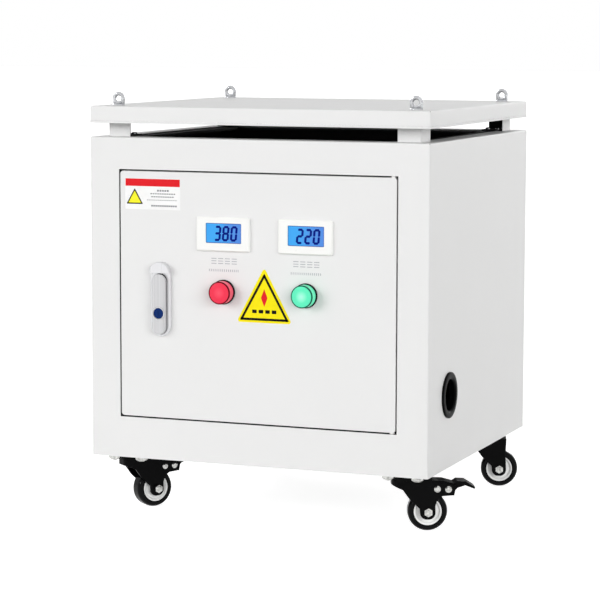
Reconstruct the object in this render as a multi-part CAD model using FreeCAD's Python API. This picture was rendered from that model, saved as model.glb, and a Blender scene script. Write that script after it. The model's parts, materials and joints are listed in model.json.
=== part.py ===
import FreeCAD, Part
import math
import os

V = FreeCAD.Vector

# A dry three-phase isolation transformer in a white sheet-metal cabinet on four casters.
# Millimetres, +Z up, +Y from the door into the cabinet, +X to the right of someone facing it.
# The origin is on the floor under the middle of the cabinet.

# Cabinet body
BODY_W = 455.0
BODY_D = 420.0
BODY_H = 410.0
CASTER_H = 76.0
SHEET = 1.5
FOLD_R = 2.5
TOP_FLANGE = 27.0
TOP_FRAME_IN = 20.0
TOP_FRAME_W = 28.0
TOP_FRAME_T = 3.5
REAR_FLANGE = 20.0
REAR_PLAY = 0.5
FLOOR_T = 2.0
FLOOR_RIM = 20.0
SLOT_W = 8.0
SLOT_L = 70.0
SLOT_PITCH = 24.0
SLOT_COUNT = 7

# Lid, its posts and the lifting eyes
LID_GAP = 20.0
LID_H = 19.0
LID_RIM = 12.0
POST_IN = 18.0
POST_LEG_X = 30.0
POST_LEG_Y = 36.0
POST_T = 2.0
EYE_IN = 28.0
EYE_SHANK_R = 3.0
EYE_COLLAR_R = 8.0
EYE_COLLAR_H = 3.5
EYE_RING_R = 6.0
EYE_WIRE_R = 2.5
EYE_SUNK = 1.0
BOLT_PLAY = 0.3
NECK_HALF = 3.0
HEAD_R = 7.0
HEAD_H = 2.5
NUT_AF = 10.0
NUT_H = 5.5

# Door opening and door
OPEN_SIDE = 40.5
OPEN_TOP = 40.5
OPEN_BOTTOM = 52.5
JAMB_DEPTH = 16.5
STOP_LIP = 12.0
DOOR_GAP = 2.0
DOOR_DEPTH = 14.0
DOOR_LIP = 15.0
DOOR_CORNER_R = 4.0
SEAL_W = 5.0
SEAL_T = 2.2
SEAL_IN = 5.5
SEAL_GAP = 0.3
HINGE_IN = 5.0
HINGE_BACK = 4.0
HINGE_PIN_R = 1.75
HINGE_HEAD_R = 2.4
HINGE_HEAD_H = 2.5
HINGE_REACH = 8.0
BUSH_WALL = 0.65
BUSH_RIM = 1.0
RUN_PLAY = 0.05

# Panel instruments, placed from the door's top edge and centre line
PANEL_X = 12.2
PANEL_PITCH = 110.2
METER_DROP = 76.2
METER_W = 72.0
METER_H = 43.0
METER_BEZEL = 4.0
METER_BEVEL = 1.5
METER_BODY_IN = 2.5
METER_BODY_D = 32.0
WINDOW_W = 48.0
WINDOW_H = 25.0
DISPLAY_T = 1.6
DISPLAY_SINK = 0.9
LAMP_DROP = 148.6
LAMP_FLANGE_R = 15.5
LAMP_FLANGE_T = 3.0
LAMP_BARREL_R = 11.0
LAMP_BARREL_L = 38.0
LENS_R = 14.2
LENS_H = 13.0
LENS_CROWN = 1.6
LENS_WALL = 1.6
ROUND_NUT_T = 5.0
CUT_PLAY = 0.3

# Door lock with a folding handle
LOCK_IN = 56.5
LOCK_DROP = 161.0
LOCK_W = 28.0
LOCK_L = 95.0
LOCK_BASE_T = 4.0
LOCK_SHOULDER_T = 8.5
SPINDLE_DROP = 24.0
SPINDLE_R = 5.0
LOCK_BOSS_R = 9.0
LOCK_BOSS_L = 9.0
HANDLE_W = 18.5
HANDLE_T = 5.0
HANDLE_PLAY = 0.3
HANDLE_END = 3.0
HANDLE_LIFT = 25.0
HANDLE_PIN_R = 1.0
HANDLE_PIN_BACK = 1.7
HANDLE_WALL = 0.8
TANG_W = 7.0
BUTTON_R = 6.7
BUTTON_UP = 30.0
BUTTON_PROUD = 1.0
BUTTON_TRAVEL = 2.5
BUTTON_RING = 1.8
LOCK_BEVEL = 1.0
CAM_T = 3.0
CAM_W = 15.0
CAM_PAST = 5.0
CAM_CLEAR = 1.5
CAM_HEAD_T = 2.5

# Cable grommets in the side walls, placed from the front face and the shell's foot
GROMMET_BACK = 81.5
GROMMET_UP = 92.5
GROMMET_R = 29.0
GROMMET_HOLE_R = 26.0
GROMMET_BORE_R = 20.0
GROMMET_PROUD = 3.0
GROMMET_INSIDE = 4.0

# Casters. Local frame: kingpin on the z axis, wheel trailing towards +x, z = 0 on the cabinet floor.
CASTER_IN_X = 40.0
CASTER_IN_Y = 53.0
PLATE_HALF_X = 30.0
PLATE_HALF_Y = 38.0
PLATE_T = 3.0
PLATE_HOLE_X = 19.0
PLATE_HOLE_Y = 29.5
KINGPIN_R = 5.0
RACE_R = 13.0
CUP_R = 23.0
CUP_WALL = 4.0
SWIVEL_GAP = 0.3
FORK_TOP = 9.5
FORK_T = 2.0
FORK_FRONT = 24.5
FORK_NOSE_R = 10.0
FORK_END_R = 9.5
TRAIL = 21.0
WHEEL_R = 25.0
WHEEL_HALF = 10.0
TREAD_FLAT = 7.0
TREAD_DROP = 1.6
HUB_R = 17.5
HUB_BOSS_HALF = 12.0
HUB_WEB_HALF = 3.5
AXLE_R = 3.0
AXLE_HEAD = 4.5
AXLE_AF = 10.0
SIDE_PLAY = 0.3
PIN_A = (32.4, -22.0)
PIN_B = (46.2, -22.4)
PIN_R = 2.5
PIN_HEAD_R = 4.3
PIN_HEAD_H = 2.2
PEDAL_T = 1.8
PEDAL_TRAVEL = 12.0
CASTER_HEADING = {"front_left": 54.0, "front_right": 24.5, "rear_left": 35.0, "rear_right": 18.5}

# Transformer core, coils, clamps and terminals
CORE_Y = 45.0
LIMB_W = 56.0
CORE_STACK = 64.0
COIL_PITCH = 116.0
WINDOW_HIGH = 150.0
CORE_LIFT = 6.0
LV_BUILD = 10.0
DUCT = 3.0
HV_BUILD = 12.0
COIL_PLAY = 0.5
COLLAR_T = 4.0
COLLAR_PLAY = 0.4
COIL_CORNER = 16.0
RIB_HALF = 4.0
CLAMP_T = 4.0
CLAMP_OVER = 18.0
CLAMP_LEG = 50.0
FOOT_LEG = 38.0
STUD_R = 5.0
STUD_AF = 16.0
STUD_NUT = 7.0
FOOT_BOLT_IN = 14.0
BOARD_W = 300.0
BOARD_H = 78.0
BOARD_T = 8.0
BOARD_AHEAD = 55.0
BOARD_DROP = 18.0
BRACKET_W = 24.0
BRACKET_T = 3.0
BRACKET_IN = 48.0
BLOCK_WAYS = 4
WAY_W = 26.0
BARRIER_T = 3.0
BLOCK_H = 46.0
BLOCK_D = 30.0
BLOCK_BASE_D = 12.0
BLOCK_GAP = 16.0
BLOCK_UP = 6.0
SADDLE_T = 5.0
SADDLE_IN = 10.0
STRAP_HALF = 8.0
STRAP_T = 1.5

# Levels and planes worked out from the sizes above
BODY_Z0 = CASTER_H
BODY_Z1 = BODY_Z0 + BODY_H
FRONT = -BODY_D / 2
BACK = BODY_D / 2
SIDE = BODY_W / 2
LID_Z0 = BODY_Z1 + LID_GAP
LID_Z1 = LID_Z0 + LID_H
OPEN_X = SIDE - OPEN_SIDE
OPEN_Z0 = BODY_Z0 + OPEN_BOTTOM
OPEN_Z1 = BODY_Z1 - OPEN_TOP
DOOR_X = OPEN_X - DOOR_GAP
DOOR_Z0 = OPEN_Z0 + DOOR_GAP
DOOR_Z1 = OPEN_Z1 - DOOR_GAP
STOP_Y = FRONT + JAMB_DEPTH
SKIN_Y = FRONT + SHEET
HINGE_X = DOOR_X - HINGE_IN
HINGE_Y = FRONT + HINGE_BACK
METER_Z = DOOR_Z1 - METER_DROP
LAMP_Z = DOOR_Z1 - LAMP_DROP
LOCK_X = -DOOR_X + LOCK_IN
LOCK_Z = DOOR_Z1 - LOCK_DROP
SPINDLE_Z = LOCK_Z + LOCK_L / 2 - SPINDLE_DROP
BUTTON_Z = LOCK_Z - LOCK_L / 2 + BUTTON_UP
HANDLE_Y = FRONT - LOCK_BASE_T - HANDLE_PLAY
HANDLE_PIN_Y = HANDLE_Y - HANDLE_PIN_BACK
TANG_EYE_R = HANDLE_T - HANDLE_PIN_BACK - HANDLE_WALL - HANDLE_PLAY
REAR_SEAT = BACK - SHEET
FLOOR_TOP = BODY_Z0 + FLOOR_T
AXLE_Z = WHEEL_R - CASTER_H
FORK_HALF = HUB_BOSS_HALF + SIDE_PLAY + FORK_T
CORE_Z0 = FLOOR_TOP + CORE_LIFT
WINDOW_Z0 = CORE_Z0 + LIMB_W
WINDOW_Z1 = WINDOW_Z0 + WINDOW_HIGH
CORE_Z1 = WINDOW_Z1 + LIMB_W
CORE_HALF = COIL_PITCH + LIMB_W / 2
CLAMP_HALF = CORE_HALF + CLAMP_OVER
SHELF_Z = CORE_Z1 + CLAMP_T
BOARD_BACK = CORE_Y - CORE_STACK / 2 - CLAMP_T - FOOT_LEG - BOARD_AHEAD + BOARD_T
BOARD_Z0 = SHELF_Z - BOARD_DROP
BOARD_Z1 = BOARD_Z0 + BOARD_H


# Basic shapes

def box(x0, x1, y0, y1, z0, z1):
    return Part.makeBox(x1 - x0, y1 - y0, z1 - z0, V(x0, y0, z0))


def rod(radius, start, along, length):
    return Part.makeCylinder(radius, length, V(*start), V(*along))


def hexagon(flats, start, along, length):
    """A hexagonal prism with its first face turned towards +Z or +X."""
    radius = flats / math.sqrt(3)
    axis = V(*along)
    across = V(0, 0, 1) if abs(axis.z) < 0.5 else V(1, 0, 0)
    other = axis.cross(across)
    points = []
    for i in range(7):
        angle = math.radians(60 * i + 30)
        points.append(V(*start) + across * (radius * math.cos(angle)) + other * (radius * math.sin(angle)))
    return Part.Face(Part.makePolygon(points)).extrude(axis * length)


def fuse(first, *rest):
    return first.fuse(list(rest)).removeSplitter() if rest else first


def cut(solid, *tools):
    return solid.cut(list(tools)).removeSplitter()


def rounded_wire(corners, to_space):
    """A closed outline of straight runs and tangent arcs. Each corner is (a, b, radius)."""
    count = len(corners)
    runs = []
    for i, (a, b, radius) in enumerate(corners):
        here = V(a, b, 0)
        back = (V(*corners[i - 1][:2], 0) - here).normalize()
        ahead = (V(*corners[(i + 1) % count][:2], 0) - here).normalize()
        half = back.getAngle(ahead) / 2
        if radius < 0.01 or abs(half - math.pi / 2) < 0.01:
            runs.append((here, None, here))
            continue
        reach = radius / math.tan(half)
        middle = here + (back + ahead).normalize() * (radius / math.sin(half) - radius)
        runs.append((here + back * reach, middle, here + ahead * reach))
    edges = []
    for i, (start, middle, end) in enumerate(runs):
        if middle is not None:
            edges.append(Part.Arc(to_space(start), to_space(middle), to_space(end)).toShape())
        following = runs[(i + 1) % count][0]
        if end.distanceToPoint(following) > 0.001:
            edges.append(Part.LineSegment(to_space(end), to_space(following)).toShape())
    return Part.Wire(edges)


def plate_z(corners, z0, z1):
    """An outline in x and y, raised from z0 to z1."""
    wire = rounded_wire(corners, lambda p: V(p.x, p.y, z0))
    return Part.Face(wire).extrude(V(0, 0, z1 - z0))


def plate_y(corners, y0, y1):
    """An outline in x and z, pushed from y0 to y1."""
    wire = rounded_wire(corners, lambda p: V(p.x, y0, p.y))
    return Part.Face(wire).extrude(V(0, y1 - y0, 0))


def rect(x0, x1, y0, y1, radius):
    return [(x0, y0, radius), (x1, y0, radius), (x1, y1, radius), (x0, y1, radius)]


def tube_z(outer, inner, z0, z1):
    """A rectangular ring between two outlines in x and y."""
    return cut(plate_z(outer, z0, z1), plate_z(inner, z0 - 1, z1 + 1))


def spun(points, origin, along):
    """A profile of (radius, distance, cut) points turned about an axis. A cut corner loses that length."""
    axis = V(*along)
    side = V(0, 0, 1) if abs(axis.z) < 0.5 else V(1, 0, 0)
    places = []
    for i, (radius, distance, corner_cut) in enumerate(points):
        here = V(radius, distance, 0)
        if corner_cut:
            for other in (points[i - 1], points[(i + 1) % len(points)]):
                towards = (V(other[0], other[1], 0) - here).normalize()
                places.append(here + towards * corner_cut)
        else:
            places.append(here)
    outline = [V(*origin) + side * p.x + axis * p.y for p in places + places[:1]]
    return Part.Face(Part.makePolygon(outline)).revolve(V(*origin), axis, 360)


def edges_where(solid, chosen):
    """The edges for which chosen(middle, direction) is true."""
    picked = []
    for edge in solid.Edges:
        if len(edge.Vertexes) < 2:
            continue
        run = edge.Vertexes[1].Point - edge.Vertexes[0].Point
        if run.Length > 0.01 and chosen(edge.CenterOfMass, run.normalize()):
            picked.append(edge)
    return picked


def bevel_front(solid, size, y):
    """Bevels the rim of the face that lies at this y."""
    rim = [edge for edge in solid.Edges
           if edge.BoundBox.YLength < 0.01 and abs(edge.CenterOfMass.y - y) < 0.01]
    return solid.makeChamfer(size, rim)


def slot_y(start, end, radius, y0, y1):
    """A slot with round ends between two points given in x and z."""
    along = (V(end[0] - start[0], end[1] - start[1], 0)).normalize() * radius
    across = V(-along.y, along.x, 0)
    first, last = V(*start, 0) - along, V(*end, 0) + along
    corners = [first - across, last - across, last + across, first + across]
    return plate_y([(p.x, p.y, radius - 0.01) for p in corners], y0, y1)


def folded_box(x0, x1, y0, y1, z0, z1, radius, back_edges):
    """A block with the folded edges of a sheet cover: the uprights and the top rim."""
    solid = box(x0, x1, y0, y1, z0, z1)

    def is_fold(middle, run):
        upright = abs(run.z) > 0.9 and (back_edges or middle.y < (y0 + y1) / 2)
        top = abs(middle.z - z1) < 0.01
        return upright or (top and (back_edges or middle.y < y1 - 0.01))

    return solid.makeFillet(radius, edges_where(solid, is_fold))


def four_corners(inset_x, inset_y):
    """The four places at these insets from the cabinet's outer faces."""
    for side_x in (-1, 1):
        for side_y in (-1, 1):
            yield side_x * (SIDE - inset_x), side_y * (BACK - inset_y), side_x, side_y


# Cabinet

def cabinet_shell():
    """Front, sides and top flange folded from one sheet, with the door frame and rear flange."""
    outer = folded_box(-SIDE, SIDE, FRONT, BACK, BODY_Z0, BODY_Z1, FOLD_R, False)
    inner = folded_box(-SIDE + SHEET, SIDE - SHEET, FRONT + SHEET, BACK + 1,
                       BODY_Z0 - 1, BODY_Z1 - SHEET, FOLD_R - SHEET, False)
    shell = cut(outer, inner)
    top_x, top_y = SIDE - TOP_FLANGE, BACK - TOP_FLANGE
    top_rear = box(-SIDE + FOLD_R, SIDE - FOLD_R, BACK - TOP_FLANGE, REAR_SEAT - SHEET,
                   BODY_Z1 - SHEET, BODY_Z1)
    frame_x, frame_y = SIDE - TOP_FRAME_IN, BACK - TOP_FRAME_IN
    frame = tube_z(rect(-frame_x, frame_x, -frame_y, frame_y, 0),
                   rect(-frame_x + TOP_FRAME_W, frame_x - TOP_FRAME_W,
                        -frame_y + TOP_FRAME_W, frame_y - TOP_FRAME_W, 0),
                   BODY_Z1 - SHEET - TOP_FRAME_T, BODY_Z1 - SHEET)
    rear = cut(box(-SIDE + SHEET / 2, SIDE - SHEET / 2, REAR_SEAT - SHEET, REAR_SEAT,
                   BODY_Z0, BODY_Z1 - SHEET / 2),
               box(-SIDE + REAR_FLANGE, SIDE - REAR_FLANGE, REAR_SEAT - SHEET - 1, REAR_SEAT + 1,
                   BODY_Z0 + REAR_FLANGE, BODY_Z1 - REAR_FLANGE))
    jamb = cut(box(-OPEN_X - SHEET, OPEN_X + SHEET, FRONT + SHEET / 2, STOP_Y + SHEET,
                   OPEN_Z0 - SHEET, OPEN_Z1 + SHEET),
               box(-OPEN_X, OPEN_X, FRONT, STOP_Y, OPEN_Z0, OPEN_Z1),
               box(-OPEN_X + STOP_LIP, OPEN_X - STOP_LIP, FRONT, STOP_Y + SHEET + 1,
                   OPEN_Z0 + STOP_LIP, OPEN_Z1 - STOP_LIP))
    shell = cut(shell,
                box(-top_x, top_x, -top_y, top_y, BODY_Z1 - SHEET - 1, BODY_Z1 + 1),
                box(-OPEN_X, OPEN_X, FRONT - 1, FRONT + SHEET + 1, OPEN_Z0, OPEN_Z1))
    shell = fuse(shell, top_rear, frame, rear, jamb)
    # The pin holes go through the door frame only, and stop short of the top flange.
    holes = [rod(HINGE_PIN_R, (HINGE_X, HINGE_Y, OPEN_Z0 - 5), (0, 0, 1), OPEN_Z1 - OPEN_Z0 + 10)]
    for side in (-1, 1):
        holes.append(rod(GROMMET_HOLE_R, (side * (SIDE - 5), FRONT + GROMMET_BACK, BODY_Z0 + GROMMET_UP),
                         (side, 0, 0), 10))
    return cut(shell, *holes)


def rear_panel():
    half = SIDE - SHEET - REAR_PLAY
    low, high = BODY_Z0 + REAR_PLAY, BODY_Z1 - SHEET - REAR_PLAY
    return plate_y(rect(-half, half, low, high, 0), REAR_SEAT, BACK)


def floor_pan():
    """The cabinet's floor with an upturned rim, caster bolt holes, foot holes and air slots."""
    x, y0, y1 = SIDE - SHEET, FRONT + SHEET, REAR_SEAT - SHEET
    fold = FOLD_R - SHEET
    pan = plate_z([(-x, y0, fold), (x, y0, fold), (x, y1, 0), (-x, y1, 0)], BODY_Z0, FLOOR_TOP + FLOOR_RIM)
    hollow = box(-x + FLOOR_T, x - FLOOR_T, y0 + FLOOR_T, y1 - FLOOR_T, FLOOR_TOP, FLOOR_TOP + FLOOR_RIM + 1)
    tools = [hollow]
    for x, y in list(caster_bolt_places()) + list(foot_bolt_places()):
        tools.append(square_hole(x, y, BODY_Z0, FLOOR_TOP))
    for i in range(SLOT_COUNT):
        x = (i - (SLOT_COUNT - 1) / 2) * SLOT_PITCH
        tools.append(box(x - SLOT_W / 2, x + SLOT_W / 2, CORE_Y - SLOT_L / 2, CORE_Y + SLOT_L / 2,
                         BODY_Z0 - 1, FLOOR_TOP + 1))
    return cut(pan, *tools)


def square_hole(x, y, z0, z1):
    """The tool for a square punched hole that a coach bolt's neck fits."""
    half = NECK_HALF + BOLT_PLAY
    return box(x - half, x + half, y - half, y + half, z0 - 1, z1 + 1)


def coach_bolt(x, y, head_z, nut_z):
    """A low head, a square neck through both sheets, and a nut on the other side."""
    out = 1 if nut_z > head_z else -1
    low, high = min(head_z, nut_z), max(head_z, nut_z)
    head = rod(HEAD_R, (x, y, head_z), (0, 0, -out), HEAD_H)
    neck = box(x - NECK_HALF, x + NECK_HALF, y - NECK_HALF, y + NECK_HALF, low, high)
    nut = hexagon(NUT_AF, (x, y, nut_z), (0, 0, out), NUT_H)
    return fuse(head, neck, nut)


def lid():
    """A shallow tray turned over, with its rim folded inwards."""
    outer = folded_box(-SIDE, SIDE, FRONT, BACK, LID_Z0, LID_Z1, FOLD_R, True)
    inner = folded_box(-SIDE + SHEET, SIDE - SHEET, FRONT + SHEET, BACK - SHEET,
                       LID_Z0 + SHEET, LID_Z1 - SHEET, FOLD_R - SHEET, True)
    rim = SHEET + LID_RIM
    mouth = box(-SIDE + rim, SIDE - rim, FRONT + rim, BACK - rim, LID_Z0 - 1, LID_Z0 + SHEET + 1)
    holes = [rod(EYE_SHANK_R + BOLT_PLAY, (x, y, LID_Z1 - 5), (0, 0, 1), 10)
             for x, y, side_x, side_y in four_corners(EYE_IN, EYE_IN)]
    return cut(outer, inner, mouth, *holes)


def lid_posts():
    """Angle posts with a foot that is screwed to the shell and a head that the eye bolt clamps."""
    posts = []
    low, high = BODY_Z1, LID_Z1 - SHEET
    for x, y, side_x, side_y in four_corners(POST_IN, POST_IN):
        corner = [(x, y, POST_T), (x - side_x * POST_LEG_X, y, 0),
                  (x - side_x * POST_LEG_X, y - side_y * POST_LEG_Y, 0), (x, y - side_y * POST_LEG_Y, 0)]
        block = plate_z(corner, low, high)
        inside = [(x - side_x * POST_T, y - side_y * POST_T, 0),
                  (x - side_x * (POST_LEG_X + 1), y - side_y * POST_T, 0),
                  (x - side_x * (POST_LEG_X + 1), y - side_y * (POST_LEG_Y + 1), 0),
                  (x - side_x * POST_T, y - side_y * (POST_LEG_Y + 1), 0)]
        eye_x, eye_y = side_x * (SIDE - EYE_IN), side_y * (BACK - EYE_IN)
        posts.append(cut(block, plate_z(inside, low + POST_T, high - POST_T),
                         rod(EYE_SHANK_R + BOLT_PLAY, (eye_x, eye_y, high - 5), (0, 0, 1), 10)))
    return Part.makeCompound(posts)


def lifting_eyes():
    """Small eye bolts: ring, collar, shank and the nut under the post's head."""
    eyes = []
    ring_z = LID_Z1 + EYE_COLLAR_H + EYE_RING_R + EYE_WIRE_R - EYE_SUNK
    for x, y, side_x, side_y in four_corners(EYE_IN, EYE_IN):
        section = [(EYE_RING_R + EYE_WIRE_R * math.cos(math.radians(60 * i)),
                    EYE_WIRE_R * math.sin(math.radians(60 * i)), 0) for i in range(6)]
        ring = spun(section, (x, y, ring_z), (0, 1, 0))
        collar = rod(EYE_COLLAR_R, (x, y, LID_Z1), (0, 0, 1), EYE_COLLAR_H)
        nut_top = LID_Z1 - SHEET - POST_T
        shank = rod(EYE_SHANK_R, (x, y, LID_Z1), (0, 0, -1), SHEET + POST_T)
        nut = hexagon(NUT_AF, (x, y, nut_top), (0, 0, -1), NUT_H)
        eyes.append(fuse(ring, collar, shank, nut))
    return Part.makeCompound(eyes)


def cable_grommet(side):
    """A push-in ring: outer flange, waist in the wall's hole and inner bead."""
    wall = SHEET + 0.2
    profile = [(GROMMET_BORE_R, -wall - GROMMET_INSIDE, 0), (GROMMET_HOLE_R, -wall - GROMMET_INSIDE, 0),
               (GROMMET_HOLE_R + 2, -wall, 0), (GROMMET_HOLE_R - 0.1, -wall, 0),
               (GROMMET_HOLE_R - 0.1, 0, 0), (GROMMET_R, 0, 0), (GROMMET_R, GROMMET_PROUD, 1.5),
               (GROMMET_BORE_R, GROMMET_PROUD, 0)]
    return spun(profile, (side * SIDE, FRONT + GROMMET_BACK, BODY_Z0 + GROMMET_UP), (side, 0, 0))


# Door and its hinge

def door_panel():
    """A pan with folded edges: skin, returns and back lips, with cut-outs for the instruments."""
    back = FRONT + DOOR_DEPTH
    skin = plate_y(rect(-DOOR_X, DOOR_X, DOOR_Z0, DOOR_Z1, DOOR_CORNER_R), FRONT, back)
    hollow = plate_y(rect(-DOOR_X + SHEET, DOOR_X - SHEET, DOOR_Z0 + SHEET, DOOR_Z1 - SHEET,
                          DOOR_CORNER_R - SHEET), SKIN_Y, back - SHEET)
    lip = DOOR_LIP
    mouth = plate_y(rect(-DOOR_X + lip, DOOR_X - lip, DOOR_Z0 + lip, DOOR_Z1 - lip, 0), SKIN_Y, back + 1)
    tools = [hollow, mouth]
    for x in panel_columns():
        body_x, body_z = METER_W / 2 - METER_BODY_IN + CUT_PLAY, METER_H / 2 - METER_BODY_IN + CUT_PLAY
        tools.append(box(x - body_x, x + body_x, FRONT - 1, SKIN_Y + 1, METER_Z - body_z, METER_Z + body_z))
        tools.append(rod(LAMP_BARREL_R + CUT_PLAY, (x, FRONT - 1, LAMP_Z), (0, 1, 0), SHEET + 2))
    tools.append(rod(LOCK_BOSS_R + CUT_PLAY, (LOCK_X, FRONT - 1, SPINDLE_Z), (0, 1, 0), SHEET + 2))
    bush_r = HINGE_PIN_R + RUN_PLAY + BUSH_WALL
    tools.append(rod(bush_r, (HINGE_X, HINGE_Y, DOOR_Z1 - SHEET - 1), (0, 0, 1), SHEET + 2))
    tools.append(rod(bush_r, (HINGE_X, HINGE_Y, DOOR_Z0 - 1), (0, 0, 1), SHEET + 2))
    return cut(skin, *tools)


def panel_columns():
    return PANEL_X - PANEL_PITCH / 2, PANEL_X + PANEL_PITCH / 2


def hinge_ends():
    """The two hinge ends: the frame's edge, the door's edge and the way from door to frame."""
    yield OPEN_Z1, DOOR_Z1, 1
    yield OPEN_Z0, DOOR_Z0, -1


def hinge_pins():
    pins = []
    for frame_z, door_z, out in hinge_ends():
        seat = frame_z + out * SHEET
        shank = rod(HINGE_PIN_R, (HINGE_X, HINGE_Y, seat), (0, 0, -out), SHEET + DOOR_GAP + HINGE_REACH)
        head = rod(HINGE_HEAD_R, (HINGE_X, HINGE_Y, seat), (0, 0, out), HINGE_HEAD_H)
        pins.append(fuse(shank, head))
    return Part.makeCompound(pins)


def hinge_bushes():
    """Flanged plastic bushes: the flange fills the gap between door and frame."""
    bushes = []
    bore = HINGE_PIN_R + RUN_PLAY
    outer = bore + BUSH_WALL
    for frame_z, door_z, out in hinge_ends():
        flange = DOOR_GAP - 0.4
        body = rod(outer, (HINGE_X, HINGE_Y, door_z), (0, 0, -out), HINGE_REACH)
        rim = rod(outer + BUSH_RIM - 0.3, (HINGE_X, HINGE_Y, door_z), (0, 0, out), flange)
        hole = rod(bore, (HINGE_X, HINGE_Y, door_z - out * (HINGE_REACH + 1)), (0, 0, out),
                   HINGE_REACH + flange + 2)
        bushes.append(cut(fuse(body, rim), hole))
    return Part.makeCompound(bushes)


def door_gasket():
    back = FRONT + DOOR_DEPTH
    x, z0, z1 = DOOR_X - SEAL_IN, DOOR_Z0 + SEAL_IN, DOOR_Z1 - SEAL_IN
    front_of_stop = STOP_Y - SEAL_GAP
    outer = plate_y(rect(-x, x, z0, z1, 3.0), back, min(back + SEAL_T, front_of_stop))
    inner = plate_y(rect(-x + SEAL_W, x - SEAL_W, z0 + SEAL_W, z1 - SEAL_W, 0), back - 1, back + SEAL_T + 1)
    return cut(outer, inner)


# Instruments on the door

def voltmeter(x):
    """A panel meter: bevelled bezel with a recessed window and a body behind the door."""
    half_w, half_h = METER_W / 2, METER_H / 2
    bezel = plate_y(rect(x - half_w, x + half_w, METER_Z - half_h, METER_Z + half_h, 2.5),
                    FRONT - METER_BEZEL, FRONT)
    bezel = bevel_front(bezel, METER_BEVEL, FRONT - METER_BEZEL)
    body_w, body_h = half_w - METER_BODY_IN, half_h - METER_BODY_IN
    body = box(x - body_w, x + body_w, FRONT, FRONT + METER_BODY_D, METER_Z - body_h, METER_Z + body_h)
    pocket = plate_y(rect(x - WINDOW_W / 2, x + WINDOW_W / 2, METER_Z - WINDOW_H / 2,
                          METER_Z + WINDOW_H / 2, 1.0), FRONT - METER_BEZEL - 1,
                     FRONT - METER_BEZEL + DISPLAY_SINK + DISPLAY_T)
    clips = [box(x + side * body_w - (side < 0) * 2.2, x + side * body_w + (side > 0) * 2.2,
                 SKIN_Y, SKIN_Y + 12, METER_Z - 7, METER_Z + 7) for side in (-1, 1)]
    return cut(fuse(bezel, body, *clips), pocket)


def meter_displays():
    """The two display glasses, one in each bezel's window."""
    front = FRONT - METER_BEZEL + DISPLAY_SINK
    return Part.makeCompound([
        plate_y(rect(x - WINDOW_W / 2, x + WINDOW_W / 2, METER_Z - WINDOW_H / 2, METER_Z + WINDOW_H / 2, 1.0),
                front, front + DISPLAY_T) for x in panel_columns()])


def lamp_base(x):
    """The lamp's black flange, the spigot under the lens and the barrel through the door."""
    spigot = LENS_R - LENS_WALL - 0.2
    profile = [(0, -LAMP_FLANGE_T - 5, 0), (spigot, -LAMP_FLANGE_T - 5, 0), (spigot, -LAMP_FLANGE_T, 0),
               (LAMP_FLANGE_R, -LAMP_FLANGE_T, 0), (LAMP_FLANGE_R, 0, 0), (LAMP_BARREL_R, 0, 0),
               (LAMP_BARREL_R, LAMP_BARREL_L, 0), (0, LAMP_BARREL_L, 0)]
    base = spun(profile, (x, FRONT, LAMP_Z), (0, 1, 0))
    tags = [box(x + side * 5 - 2, x + side * 5 + 2, FRONT + LAMP_BARREL_L, FRONT + LAMP_BARREL_L + 7,
                LAMP_Z - 0.5, LAMP_Z + 0.5) for side in (-1, 1)]
    return fuse(base, *tags)


def lamp_lens(x):
    """A coloured cap with a crowned face, open behind."""
    seat = -LAMP_FLANGE_T
    front = seat - LENS_H
    cavity = LENS_R - LENS_WALL
    profile = [(0, front, 0), (LENS_R * 0.65, front + LENS_CROWN * 0.3, 0),
               (LENS_R - 0.5, front + LENS_CROWN, 0),
               (LENS_R, seat, 0), (cavity, seat, 0), (cavity, front + 2 * LENS_CROWN, 0),
               (0, front + 2 * LENS_CROWN, 0)]
    return spun(profile, (x, FRONT, LAMP_Z), (0, 1, 0))


def door_nuts():
    """The round nuts behind the door that hold the two lamps and the lock."""
    nuts = []
    for x in panel_columns():
        nut = hexagon(LAMP_BARREL_R * 2 + 6, (x, SKIN_Y, LAMP_Z), (0, 1, 0), ROUND_NUT_T)
        nuts.append(cut(nut, rod(LAMP_BARREL_R, (x, SKIN_Y - 1, LAMP_Z), (0, 1, 0), ROUND_NUT_T + 2)))
    nut = hexagon(LOCK_BOSS_R * 2 + 8, (LOCK_X, SKIN_Y, SPINDLE_Z), (0, 1, 0), ROUND_NUT_T)
    nuts.append(cut(nut, rod(LOCK_BOSS_R, (LOCK_X, SKIN_Y - 1, SPINDLE_Z), (0, 1, 0), ROUND_NUT_T + 2)))
    return Part.makeCompound(nuts)


# Lock

def lock_base():
    """Pill-shaped plate with a raised end above the handle's head, and the boss that carries the spindle."""
    half = LOCK_W / 2
    low, top = LOCK_Z - LOCK_L / 2, LOCK_Z + LOCK_L / 2
    pill = rect(LOCK_X - half, LOCK_X + half, low, top, half - 0.01)
    plate = bevel_front(plate_y(pill, FRONT - LOCK_BASE_T, FRONT), LOCK_BEVEL, FRONT - LOCK_BASE_T)
    swept = SPINDLE_Z + HANDLE_W / 2 + 2 * HANDLE_PLAY
    shoulder = bevel_front(plate_y(pill, FRONT - LOCK_SHOULDER_T, FRONT), LOCK_BEVEL, FRONT - LOCK_SHOULDER_T)
    shoulder = cut(shoulder, box(LOCK_X - half - 1, LOCK_X + half + 1, FRONT - LOCK_SHOULDER_T - 1, FRONT + 1,
                                 low - 1, swept))
    boss = rod(LOCK_BOSS_R, (LOCK_X, FRONT, SPINDLE_Z), (0, 1, 0), LOCK_BOSS_L)
    bore = rod(SPINDLE_R + RUN_PLAY, (LOCK_X, FRONT - LOCK_BASE_T - 1, SPINDLE_Z), (0, 1, 0),
               LOCK_BASE_T + LOCK_BOSS_L + 2)
    return cut(fuse(plate, shoulder, boss), bore)


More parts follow.
